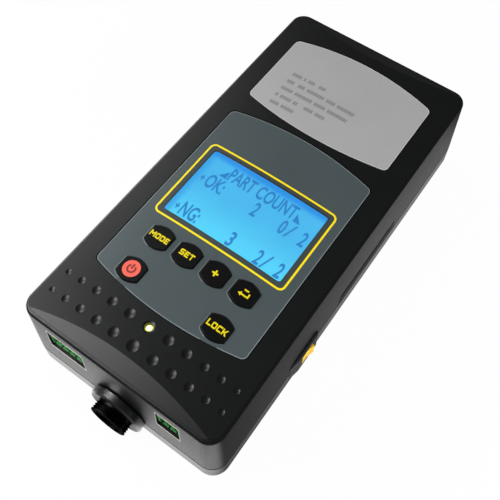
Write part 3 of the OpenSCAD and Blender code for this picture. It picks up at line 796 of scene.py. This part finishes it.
def cut_with(piece: Object, tool: Object, operation: str) -> None:
    """Joins, cuts or intersects a piece with another one, which is used up.

    Args:
        piece: The piece that stays.
        tool: The piece that is used up.
        operation: Blender's name for the Boolean.
    """
    modifier = piece.modifiers.new("cut", "BOOLEAN")
    modifier.operation = operation
    modifier.object = tool
    modifier.solver = "EXACT"
    only(piece)
    bpy.ops.object.modifier_apply(modifier=modifier.name)
    bpy.data.objects.remove(tool)


def settle(piece: Object) -> None:
    """Puts a piece's place into its mesh, merges doubled points and turns its faces outwards.

    Args:
        piece: The piece.
    """
    only(piece)
    bpy.ops.object.transform_apply(location=True, rotation=True, scale=True)
    pick(piece, Part.FACE, lambda face: True)
    bpy.ops.mesh.remove_doubles(threshold=TOUCHING)
    bpy.ops.mesh.select_all(action="SELECT")
    bpy.ops.mesh.normals_make_consistent(inside=False)
    close()


def shift(piece: Object, x: float, y: float, z: float) -> None:
    """Moves a piece's mesh by so many millimetres."""
    piece.data.transform(Matrix.Translation(Vector((x, y, z)) * MM))


def release(piece: Object, name: str, body: str, slot: str, *materials: Material) -> None:
    """Names a piece, dresses it and lets it ride on its body.

    Args:
        piece: The finished piece.
        name: Its name.
        body: The body that it moves with.
        slot: The record's material slot that its finish stands for; not used.
        materials: Its materials, in the order of its faces' numbers.
    """
    piece.name = name
    piece.data.name = name
    for material in materials:
        piece.data.materials.append(material)
    only(piece)
    bpy.ops.object.shade_smooth_by_angle(angle=math.radians(SMOOTH_BELOW))
    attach(piece, body)
    LOG.info("%s rides on %s with %d faces", name, body, len(piece.data.polygons))


def copy_of(piece: Object) -> Object:
    """Copies a piece with a mesh of its own.

    Args:
        piece: The piece to copy.

    Returns:
        The copy.
    """
    twin = piece.copy()
    twin.data = piece.data.copy()
    bpy.context.scene.collection.objects.link(twin)
    return twin


def finish_of(node: str) -> Material:
    """Gives the material that a node of the frame was dressed in."""
    return frame["nodes"][node].data.materials[0]


def printed_shape(outlines: Sequence[Outline], thickness: float) -> Object:
    """Makes a thin flat piece from closed outlines.

    Args:
        outlines: Points of each outline in millimetres; an outline inside another is a hole.
        thickness: How thick the piece is, in millimetres.

    Returns:
        The piece, lying on the plane Z = 0.
    """
    curve = bpy.data.curves.new("outline", "CURVE")
    curve.dimensions = "2D"
    curve.fill_mode = "BOTH"
    curve.extrude = thickness * MM / 2
    for outline in outlines:
        spline = curve.splines.new("POLY")
        spline.points.add(len(outline) - 1)
        for point, (x, y) in zip(spline.points, outline):
            point.co = (x * MM, y * MM, 0.0, 1.0)
        spline.use_cyclic_u = True
    flat = bpy.data.objects.new("outline", curve)
    bpy.context.scene.collection.objects.link(flat)
    return meshed(flat, thickness)


def meshed(flat: Object, thickness: float) -> Object:
    """Turns a flat curve or text into a clean mesh that stands on the plane Z = 0.

    Args:
        flat: The curve or text object, extruded to both sides.
        thickness: Its whole thickness in millimetres.

    Returns:
        The same object as a mesh.
    """
    only(flat)
    bpy.ops.object.convert(target="MESH")
    piece = bpy.context.object
    shift(piece, 0, 0, thickness / 2)
    settle(piece)
    return piece


def arc(radius: float, start: float, end: float, steps: int) -> list[Pair]:
    """Gives points along an arc round the origin, from one angle in degrees to another."""
    angles = [math.radians(start + (end - start) * i / steps) for i in range(steps + 1)]
    return [(radius * math.cos(a), radius * math.sin(a)) for a in angles]


def rectangle(left: float, low: float, right: float, high: float) -> Outline:
    """Gives the corners of an upright rectangle."""
    return ((left, low), (right, low), (right, high), (left, high))


def plus_sign(half: Pair, share: float, middle: Pair = (0.0, 0.0)) -> Outline:
    """Gives a plus sign from half its size and the share of it that its strokes take."""
    corners = ((-share, -1), (share, -1), (share, -share), (1, -share), (1, share), (share, share),
               (share, 1), (-share, 1), (-share, share), (-1, share), (-1, -share), (-share, -share))
    return [(middle[0] + x * half[0], middle[1] + y * half[1]) for x, y in corners]


# Modelled pieces

class Key(Enum):
    """The six keys, with their places on the top in millimetres from the case's middle."""

    MODE = (-20.58, -43.2)
    SET = (-6.86, -43.2)
    PLUS = (6.86, -43.2)
    ENTER = (20.58, -43.2)
    POWER = (-20.58, -60.2)
    LOCK = (20.58, -60.2)

    @property
    def word(self) -> str:
        """Gives the key's name in the frame."""
        return self.name.lower()


@dataclass
class KeyCaps:
    """The six black caps with their glossy sloped sides, in millimetres from the crown at each key."""

    width: float = 10.0
    length: float = 9.7
    arch: float = 8.0
    arch_points: int = 160
    skirt: float = 0.5
    proud: float = 0.5
    shoulder: float = -0.2
    flange_top: float = -3.15
    flange_half: float = 6.6
    flange_t: float = 0.6
    corner: float = 0.9
    corner_steps: int = 4
    edge: float = 0.14
    lap: float = 0.02
    slope_up: Pair = (0.2, 0.95)

    def build(self) -> None:
        """Models one cap and stands a copy of it at each key."""
        slope = MouldedPlastic("silicone_moulded_gloss", "0e0f10", 0.22, grain_depth=0.02).material()
        cap = self.model()
        for key in Key:
            piece = copy_of(cap)
            piece.data.transform(CASE.on_crown(*key.value))
            top = finish_of(f"key_{key.word}")
            release(piece, f"cap_{key.word}", f"{key.word}_key", "key_black", top, slope)
            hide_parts(f"key_{key.word}")
        bpy.data.objects.remove(cap)

    def column(self, side: int) -> Object:
        """Adds the round column that gives one arched side.

        Args:
            side: 1 for the arch in front, -1 for the one behind.

        Returns:
            The column.
        """
        low = self.flange_top - self.lap
        bpy.ops.mesh.primitive_cylinder_add(
            vertices=self.arch_points, radius=(self.arch + self.skirt) * MM, depth=(self.shoulder - low) * MM,
            location=(0, side * (self.arch - self.length / 2) * MM, (self.shoulder + low) / 2 * MM))
        return bpy.context.object

    def model(self) -> Object:
        """Models a cap round the origin, with the crown's surface at Z = 0.

        Returns:
            The cap, whose sloped faces have material number 1.
        """
        cap = self.column(1)
        cut_with(cap, self.column(-1), "INTERSECT")
        settle(cap)
        half = (self.width / 2 + self.skirt) * MM
        for side in (-1, 1):
            pick(cap, Part.FACE, lambda face: True)
            bpy.ops.mesh.bisect(plane_co=(side * half, 0, 0), plane_no=(side, 0, 0), use_fill=True,
                                clear_outer=True)
            close()
        places = [point.co.copy() for point in cap.data.vertices]
        pick(cap, Part.EDGE, lambda edge: all(abs(abs(places[v].x) - half) < TOUCHING for v in edge.vertices)
             and abs(places[edge.vertices[0]].z - places[edge.vertices[1]].z) > MM)
        bpy.ops.mesh.bevel(offset=self.corner * MM, segments=self.corner_steps, affect="EDGES")
        close()
        pick(cap, Part.FACE, lambda face: face.normal.z > TOP_FACE)
        self.step_in(self.shoulder, self.proud - self.edge, self.skirt - self.edge)
        self.step_in(self.proud - self.edge, self.proud, self.edge)
        close()
        for face in cap.data.polygons:
            low_part = face.center.z < (self.proud - self.edge) * MM
            face.material_index = int(self.slope_up[0] < face.normal.z < self.slope_up[1] and low_part)
        self.add_flange(cap)
        return cap

    def step_in(self, low: float, high: float, run: float) -> None:
        """Raises the selected top and draws it in, which leaves a slope round it.

        Args:
            low: Height of the top before.
            high: Height of it after.
            run: How far its edge moves inwards.
        """
        bpy.ops.mesh.extrude_region_move(TRANSFORM_OT_translate={"value": (0, 0, (high - low) * MM)})
        across = self.width + 2 * (self.proud - low) / (self.proud - self.shoulder) * self.skirt
        along = across + self.length - self.width
        bpy.ops.transform.resize(value=(1 - 2 * run / across, 1 - 2 * run / along, 1),
                                 center_override=(0, 0, high * MM))

    def add_flange(self, cap: Object) -> None:
        """Joins the flange that keeps a cap under the cover.

        Args:
            cap: The cap.
        """
        middle = self.flange_top - self.flange_t / 2
        bpy.ops.mesh.primitive_cube_add(size=1, location=(0, 0, middle * MM))
        flange = bpy.context.object
        flange.scale = (2 * self.flange_half * MM, 2 * self.flange_half * MM, self.flange_t * MM)
        settle(flange)
        cut_with(cap, flange, "UNION")


# Block letters on a grid of stroke widths, each as its outline and, where it has one, its counter
LETTERS: dict[str, tuple[Outline, ...]] = {
    "C": (((0.6, 0), (3.8, 0), (3.8, 1), (1, 1), (1, 3), (3.8, 3), (3.8, 4), (0.6, 4), (0, 3.4), (0, 0.6)),),
    "D": (((0, 0), (3.3, 0), (4, 0.7), (4, 3.3), (3.3, 4), (0, 4)), ((1, 1), (1, 3), (3, 3), (3, 1))),
    "E": (((0, 0), (3.6, 0), (3.6, 1), (1, 1), (1, 1.6), (3.2, 1.6), (3.2, 2.4), (1, 2.4), (1, 3), (3.6, 3),
           (3.6, 4), (0, 4)),),
    "K": (((0, 0), (1, 0), (1, 1.5), (1.6, 1.5), (2.8, 0), (4.1, 0), (2.5, 2), (4.1, 4), (2.8, 4), (1.6, 2.5),
           (1, 2.5), (1, 4), (0, 4)),),
    "L": (((0, 0), (3.4, 0), (3.4, 1), (1, 1), (1, 4), (0, 4)),),
    "M": (((0, 0), (1, 0), (1, 2.4), (2.5, 0.9), (4, 2.4), (4, 0), (5, 0), (5, 4), (4, 4), (2.5, 2.4), (1, 4),
           (0, 4)),),
    "O": (((0.6, 0), (3.4, 0), (4, 0.6), (4, 3.4), (3.4, 4), (0.6, 4), (0, 3.4), (0, 0.6)),
          ((1, 1), (1, 3), (3, 3), (3, 1))),
    "S": (((0, 0), (3.4, 0), (4, 0.6), (4, 1.9), (3.5, 2.4), (1, 2.4), (1, 3), (3.8, 3), (3.8, 4), (0.6, 4),
           (0, 3.4), (0, 2.1), (0.5, 1.6), (3, 1.6), (3, 1), (0, 1)),),
    "T": (((1.4, 0), (2.4, 0), (2.4, 3), (3.8, 3), (3.8, 4), (0, 4), (0, 3), (1.4, 3)),),
}
LETTER_HEIGHT = 4


@dataclass
class Legends:
    """The words and signs printed on the keys, in millimetres from the middle of each key."""

    top: float
    thickness: float = 0.08
    letter_gap: float = 0.6
    word_height: float = 2.6
    plus_arm: float = 1.4
    plus_stroke: float = 0.4
    arrow: Outline = ((1.75, 0.7), (2.4, 0.7), (2.4, -1.25), (-0.9, -1.25), (-0.9, -1.9), (-2.4, -0.9),
                      (-0.9, 0.1), (-0.9, -0.6), (1.75, -0.6))
    arrow_bar: Box = (-0.7, 1.0, 1.3, 1.65)
    disc_radius: float = 3.65
    disc_points: int = 60
    ring: Pair = (2.0, 1.25)
    ring_ends: Pair = (130, 410)
    ring_steps: int = 40
    power_bar: Box = (-0.36, 0.0, 0.36, 2.2)
    sign_lift: float = 0.06

    def build(self) -> None:
        """Makes the legend of each key: yellow ones, and a dark red power sign on a coral disc."""
        yellow = YELLOW_INK.material()
        for key, width in ((Key.MODE, 9.0), (Key.SET, 6.6), (Key.LOCK, 9.0)):
            self.lay(key, "word", self.word(key.name, width), yellow)
        plus = plus_sign((self.plus_arm, self.plus_arm), self.plus_stroke / self.plus_arm)
        self.lay(Key.PLUS, "sign", [plus], yellow)
        self.lay(Key.ENTER, "sign", [self.arrow, rectangle(*self.arrow_bar)], yellow)
        disc = arc(self.disc_radius, 0, 360, self.disc_points)[:-1]
        self.lay(Key.POWER, "disc", [disc], CORAL_INK.material())
        start, end = self.ring_ends
        ring = arc(self.ring[0], start, end, self.ring_steps) + arc(self.ring[1], end, start, self.ring_steps)
        sign = [ring, rectangle(*self.power_bar)]
        self.lay(Key.POWER, "sign", sign, DARK_RED_INK.material(), self.sign_lift)

    def word(self, letters: str, width: float) -> list[Outline]:
        """Sets a word in block letters.

        Args:
            letters: The word.
            width: Its width in millimetres.

        Returns:
            Its outlines, round the word's middle.
        """
        outlines, cursor = [], 0.0
        for letter in letters:
            shapes = LETTERS[letter]
            outlines += [[(x + cursor, y) for x, y in shape] for shape in shapes]
            cursor += max(x for x, _ in shapes[0]) + self.letter_gap
        cursor -= self.letter_gap
        return [[((x / cursor - 0.5) * width, (y / LETTER_HEIGHT - 0.5) * self.word_height) for x, y in shape]
                for shape in outlines]

    def lay(self, key: Key, what: str, outlines: Sequence[Outline], ink: Material,
            lift: float = 0.0) -> None:
        """Prints a legend on its key.

        Args:
            key: The key.
            what: What the legend is, for its name.
            outlines: Its outlines.
            ink: Its ink.
            lift: How far it lies above the key's top, in millimetres.
        """
        piece = printed_shape(outlines, self.thickness)
        sunk = self.thickness / 4
        shift(piece, 0, 0, self.top + lift - sunk)
        piece.data.transform(CASE.on_crown(*key.value))
        release(piece, f"legend_{key.word}_{what}", f"{key.word}_key", "key_black", ink)


class Border(Enum):
    """Looks of a sheet's border, by the number of its material."""

    PLAIN = 0
    # Painted highlight of the cut edge
    LIGHT = 1
    DARK = 2


@dataclass
class CutSheet:
    """A printed sheet whose cut edge shows as a fine lighter line along its border: a painted highlight on a
    faintly sloped rim.
    """

    node: str
    name: str
    slot: str
    # Colour of the painted highlight along the border
    edge_colour: str
    mask_colour: str = "2b2420"
    rim: float = 0.3
    crowned: float = 0.05
    border_up: float = 0.5

    def border(self, x: float, y: float) -> Border:
        """Says how the border looks at a place, in millimetres from the case's middle: with the painted
        highlight all round.
        """
        return Border.LIGHT

    def build(self) -> None:
        """Models the sheet from its node."""
        piece = copy_of(frame["nodes"][self.node])
        for key in list(piece.keys()):
            del piece[key]
        piece.data.materials.clear()
        settle(piece)
        pick(piece, Part.FACE, lambda face: face.normal.z > TOP_FACE)
        bpy.ops.mesh.inset(thickness=self.rim * MM, depth=self.crowned * MM, use_even_offset=False)
        close()
        for face in piece.data.polygons:
            place = (face.center - CASE.centre) / MM
            face.material_index = 0
            if face.normal.z > self.border_up and not face.select:
                face.material_index = self.border(place.x, place.y).value
        # The rim's lighter material is the painted highlight of the cut edge
        edge = MouldedPlastic(self.name + "_cut_edge", self.edge_colour, 0.35, grain_depth=0.02).material()
        mask = MouldedPlastic(self.name + "_dark_mask", self.mask_colour, 0.45, grain_depth=0.02).material()
        release(piece, self.name, "case", self.slot, finish_of(self.node), edge, mask)
        CASE.round_off(piece)
        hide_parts(self.node)


@dataclass
class KeypadSheet(CutSheet):
    """The keypad's film, whose border is dark round the display and carries the painted highlight on the half
    of each key hole that faces the light.
    """

    display_x: float = 30.0
    display_y: Pair = (-33.0, 6.0)
    hole_reach: float = 7.5
    # Side of each key hole whose cut edge faces the light: to the left and a little to the front
    glint: Pair = (-0.88, -0.48)
    glint_from: float = 0.75

    def border(self, x: float, y: float) -> Border:
        """Says how the border looks at a place.

        Args:
            x: Distance to the right of the case's middle, in millimetres.
            y: Distance to the rear of it.

        Returns:
            The border's look at that place.
        """
        if abs(x) < self.display_x and self.display_y[0] < y < self.display_y[1]:
            return Border.DARK
        for key in Key:
            from_key = Vector((x, y)) - Vector(key.value)
            if from_key.length < self.hole_reach:
                lit = from_key.normalized().dot(Vector(self.glint)) > self.glint_from
                return Border.LIGHT if lit else Border.PLAIN
        return Border.LIGHT


class Row(Enum):
    """The two rows of the display: its word, the digits of its number, and its front and rear edge."""

    GOOD = ("OK:", "202", -13.05, -5.95)
    BAD = ("NG:", "322", -29.9, -22.85)


@dataclass
class Display:
    """The characters on the lit glass, in millimetres from the case's middle."""

    thickness: float = 0.02
    lift: float = 0.005
    boldness: float = 0.022
    curve_steps: int = 4
    title: Box = (-16.7, -4.75, 16.6, 2.1)
    title_corners: tuple[Outline, ...] = (((-20.5, -4.7), (-17.1, -4.7), (-17.1, -0.5)),
                                          ((17.0, -5.0), (20.5, -5.0), (17.0, -0.9)))
    word_x: Pair = (-23.3, -14.5)
    word_rise: float = 0.45
    sign_x: float = -25.2
    sign_half: Pair = (0.9, 1.4)
    sign_stroke: float = 0.3
    # Left edge, right edge and rise of each digit
    digits: tuple[Triple, ...] = ((0.5, 3.2, 0.2), (14.1, 16.8, 0.0), (24.05, 26.8, -0.1))
    slash_front: Pair = (17.4, 18.2)
    slash_rear: Pair = (20.7, 19.9)

    def __post_init__(self) -> None:
        """Makes the lit ink and finds the glass's face."""
        self.ink = DRIVEN_SEGMENT.material()
        self.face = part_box("lcd_glass")[1][2] / MM

    def build(self) -> None:
        """Sets the title, and on each row a sign, a word and three digits with a slash."""
        self.text("title", "PART COUNT", self.title)
        self.put("title_corners", printed_shape(self.title_corners, self.thickness))
        for row in Row:
            name = row.name.lower()
            word, number, low, high = row.value
            self.text(f"{name}_word", word,
                      (self.word_x[0], low + self.word_rise, self.word_x[1], high + self.word_rise))
            sign = plus_sign(self.sign_half, self.sign_stroke, (self.sign_x, (low + high) / 2))
            self.put(f"{name}_sign", printed_shape([sign], self.thickness))
            for place, (start, end, rise) in enumerate(self.digits):
                self.text(f"{name}_digit_{place}", number[place], (start, low + rise, end, high + rise))
            slash = [(x, low) for x in self.slash_front] + [(x, high) for x in self.slash_rear]
            self.put(f"{name}_slash", printed_shape([slash], self.thickness))

    def text(self, name: str, words: str, box: Box) -> None:
        """Sets words on the glass, drawn out to fill a box.

        Args:
            name: What the words are, for the piece's name.
            words: The words.
            box: Left, front, right and rear edge of the box.
        """
        bpy.ops.object.text_add()
        letters = bpy.context.object
        letters.data.body = words
        letters.data.extrude = self.thickness * MM / 2
        letters.data.offset = self.boldness
        letters.data.resolution_u = self.curve_steps
        piece = meshed(letters, self.thickness)
        xs = [point.co.x for point in piece.data.vertices]
        ys = [point.co.y for point in piece.data.vertices]
        wide = (box[2] - box[0]) * MM / (max(xs) - min(xs))
        tall = (box[3] - box[1]) * MM / (max(ys) - min(ys))
        piece.data.transform(Matrix.Translation((-min(xs), -min(ys), 0)))
        piece.data.transform(Matrix.Diagonal((wide, tall, 1, 1)))
        shift(piece, box[0], box[1], 0)
        self.put(name, piece)

    def put(self, name: str, piece: Object) -> None:
        """Puts a character on the glass, which was modelled round the case's middle."""
        shift(piece, CASE.centre.x / MM, CASE.centre.y / MM, self.face + self.lift)
        release(piece, f"display_{name}", "case", "display_cyan", self.ink)


# The scene

def dress_frame() -> None:
    """Gives every node its own finish, or else the one of its material slot."""
    made: dict[Finish, Material] = {}
    for part in frame["record"]["subparts"]:
        finish = OWN_FINISHES.get(part["node"], FINISHES[part["material_slot"]])
        if finish not in made:
            made[finish] = finish.material()
        mesh = frame["nodes"][part["node"]].data
        mesh.materials.clear()
        mesh.materials.append(made[finish])
        LOG.info("%s takes %s", part["node"], finish.name)


@dataclass
class Studio:
    """Camera, lamps, floor and surroundings; places are in millimetres from the case's middle."""

    camera_place: Triple = (92.36, -145.5, 318.58)
    camera_turn_deg: Triple = (33.4807, -1.6340, 35.0317)
    camera_near: float = 10.0
    sensor_mm: float = 36.0
    lens_mm: float = 56.0
    image_px: float = 500.0
    axis_px: Pair = (264.8, 174.5)
    sky: float = 0.06
    floor_side: float = 6.0
    floor_grey: float = 0.85
    floor_seen: float = 0.97
    # How bright the floor is mirrored, over a span of places: in front of the case, a painted pool of light
    # brighter to the left, and on its right, dimmed as the case's painted shadow
    front_x: Pair = (-60.0, 45.0)
    front_glow: Pair = (1.6, 1.25)
    right_y: Pair = (-90.0, 40.0)
    right_glow: Pair = (0.14, 0.5)
    # Where the right part takes over
    right_from_x: Pair = (40.0, 46.0)
    right_from_y: Pair = (-100.0, -90.0)
    # Where the mirrored floor goes dark as painted shade: far to the right, behind and in front, and under
    # the socket as its painted shadow
    dark_x: Pair = (62.0, 80.0)
    dark_rear: Pair = (100.0, 130.0)
    dark_front: Pair = (-109.0, -124.0)
    dark_glow: float = 0.12
    socket_middle: Pair = (-4.0, -103.0)
    socket_half: Pair = (12.0, 5.0)
    socket_fade: Pair = (6.0, -3.0)
    socket_share: float = 0.85

    def build(self) -> None:
        """Sets the studio up."""
        bpy.context.scene.view_settings.view_transform = "Standard"
        self.add_camera()
        self.add_world()
        self.add_floor()
        self.add_lamp("front_softbox", (-0.53, -0.53, 0.66), 0.36, 0.2, 6.5)
        self.add_lamp("rear_softbox", (-0.84, 0.27, 0.46), 0.9, 0.5, 3.4)
        self.add_lamp("low_strip", (-0.97, 0.17, 0.17), 0.6, 0.22, 4.0)
        self.add_lamp("right_fill", (0.9, -0.1, 0.35), 0.9, 0.4, 14.0, mirrored=False)
        self.add_lamp("overhead_fill", (0.1, 0.25, 0.96), 1.0, 0.6, 2.0, mirrored=False)

    def add_camera(self) -> None:
        """Puts the camera where the photograph was taken from."""
        data = bpy.data.cameras.new("camera")
        data.sensor_width = self.sensor_mm
        data.lens = self.lens_mm
        middle = self.image_px / 2
        data.shift_x = (middle - self.axis_px[0]) / self.image_px
        data.shift_y = (self.axis_px[1] - middle) / self.image_px
        data.clip_start = self.camera_near * MM
        camera = bpy.data.objects.new("camera", data)
        camera.location = CASE.centre + Vector(self.camera_place) * MM
        camera.rotation_euler = Euler([math.radians(a) for a in self.camera_turn_deg], "XYZ")
        bpy.context.scene.collection.objects.link(camera)
        bpy.context.scene.camera = camera

    def add_world(self) -> None:
        """Makes the surroundings: white to look at, and a dim sky for the object."""
        world = bpy.data.worlds.new("studio")
        bpy.context.scene.world = world
        graph = Graph(world)
        seen = graph.ranged(graph.add("LightPath").outputs["Is Camera Ray"], (self.sky, 1.0))
        graph.add("OutputWorld", {"Surface": graph.add("Background", {"Color": WHITE, "Strength": seen})})

    def floor_light(self, graph: Graph) -> Node:
        """Works out how bright the floor is mirrored, as painted light and shadow: brighter on its lit left,
        dark under the socket.

        Args:
            graph: The floor's tree.

        Returns:
            The node that holds the strength.
        """
        place = graph.place_mm(from_middle=True)
        x, y, _ = graph.axes(place)
        to_right = graph.product(graph.step(x, *self.right_from_x), graph.step(y, *self.right_from_y))
        lit = graph.ranged(to_right, (graph.ranged(x, self.front_glow, self.front_x),
                                      graph.ranged(y, self.right_glow, self.right_y)))
        from_socket = graph.rounded_distance(place, self.socket_middle, self.socket_half, self.socket_half[1])
        dark = graph.product(graph.step(from_socket, *self.socket_fade), self.socket_share)
        for axis, span in ((x, self.dark_x), (y, self.dark_rear), (y, self.dark_front)):
            dark = graph.math("MAXIMUM", dark, graph.step(axis, *span))
        return graph.product(lit, graph.ranged(dark, (1.0, self.dark_glow)))

    def add_floor(self) -> None:
        """Lays the pale floor: it shows white, keeps a soft shadow, and lights what mirrors it with painted
        light and shadow.
        """
        bpy.ops.mesh.primitive_plane_add(size=self.floor_side)
        floor = bpy.context.object
        floor.name = "studio_floor"
        board = bpy.data.materials.new("matt_white_board")
        graph = Graph(board)
        rays = graph.add("LightPath").outputs
        # Camera rays see plain white; mirrored rays see the painted light and shadow
        glow = graph.ranged(rays["Is Camera Ray"], (self.floor_light(graph), 1.0))
        grey = (self.floor_grey, self.floor_grey, self.floor_grey, 1.0)
        mirrored = graph.math("MAXIMUM", rays["Is Glossy Ray"], rays["Is Transmission Ray"])
        share = graph.math("MAXIMUM", graph.product(rays["Is Camera Ray"], self.floor_seen), mirrored)
        mix = graph.add("MixShader", {0: share, 1: graph.add("BsdfDiffuse", {"Color": grey}),
                                      2: graph.add("Emission", {"Color": WHITE, "Strength": glow})})
        graph.add("OutputMaterial", {"Surface": mix})
        floor.data.materials.append(board)

    def add_lamp(self, name: str, towards: Triple, far: float, side: float, glow: float,
                 mirrored: bool = True) -> None:
        """Hangs a square softbox that faces the object.

        Args:
            name: What the lamp is called.
            towards: Direction from the object to the lamp.
            far: Distance in metres.
            side: Side of its face in metres.
            glow: Radiance of its face, where 1 shows as white.
            mirrored: Whether glossy surfaces mirror it, as they would not if it hung behind a flag.
        """
        data = bpy.data.lights.new(name, "AREA")
        data.size = side
        data.energy = glow * math.pi * side * side
        lamp = bpy.data.objects.new(name, data)
        lamp.visible_glossy = mirrored
        lamp.visible_transmission = mirrored
        way = Vector(towards).normalized()
        lamp.location = way * far
        lamp.rotation_euler = (-way).to_track_quat("-Z", "Y").to_euler()
        bpy.context.scene.collection.objects.link(lamp)


def main() -> None:
    """Builds the studio, dresses the frame and adds the modelled pieces."""
    logging.basicConfig(level=logging.INFO, format="%(name)s: %(message)s")
    Studio().build()
    dress_frame()
    # The last colour of each sheet is the painted highlight along its border
    KeypadSheet("keypad_overlay", "film_sheet", "keypad_sheet", "7f898a").build()
    CutSheet("rating_plate", "plate_sheet", "plate_grey", "c9c9c9").build()
    caps = KeyCaps()
    caps.build()
    Legends(caps.proud).build()
    Display().build()


if __name__ == "__main__":
    main()
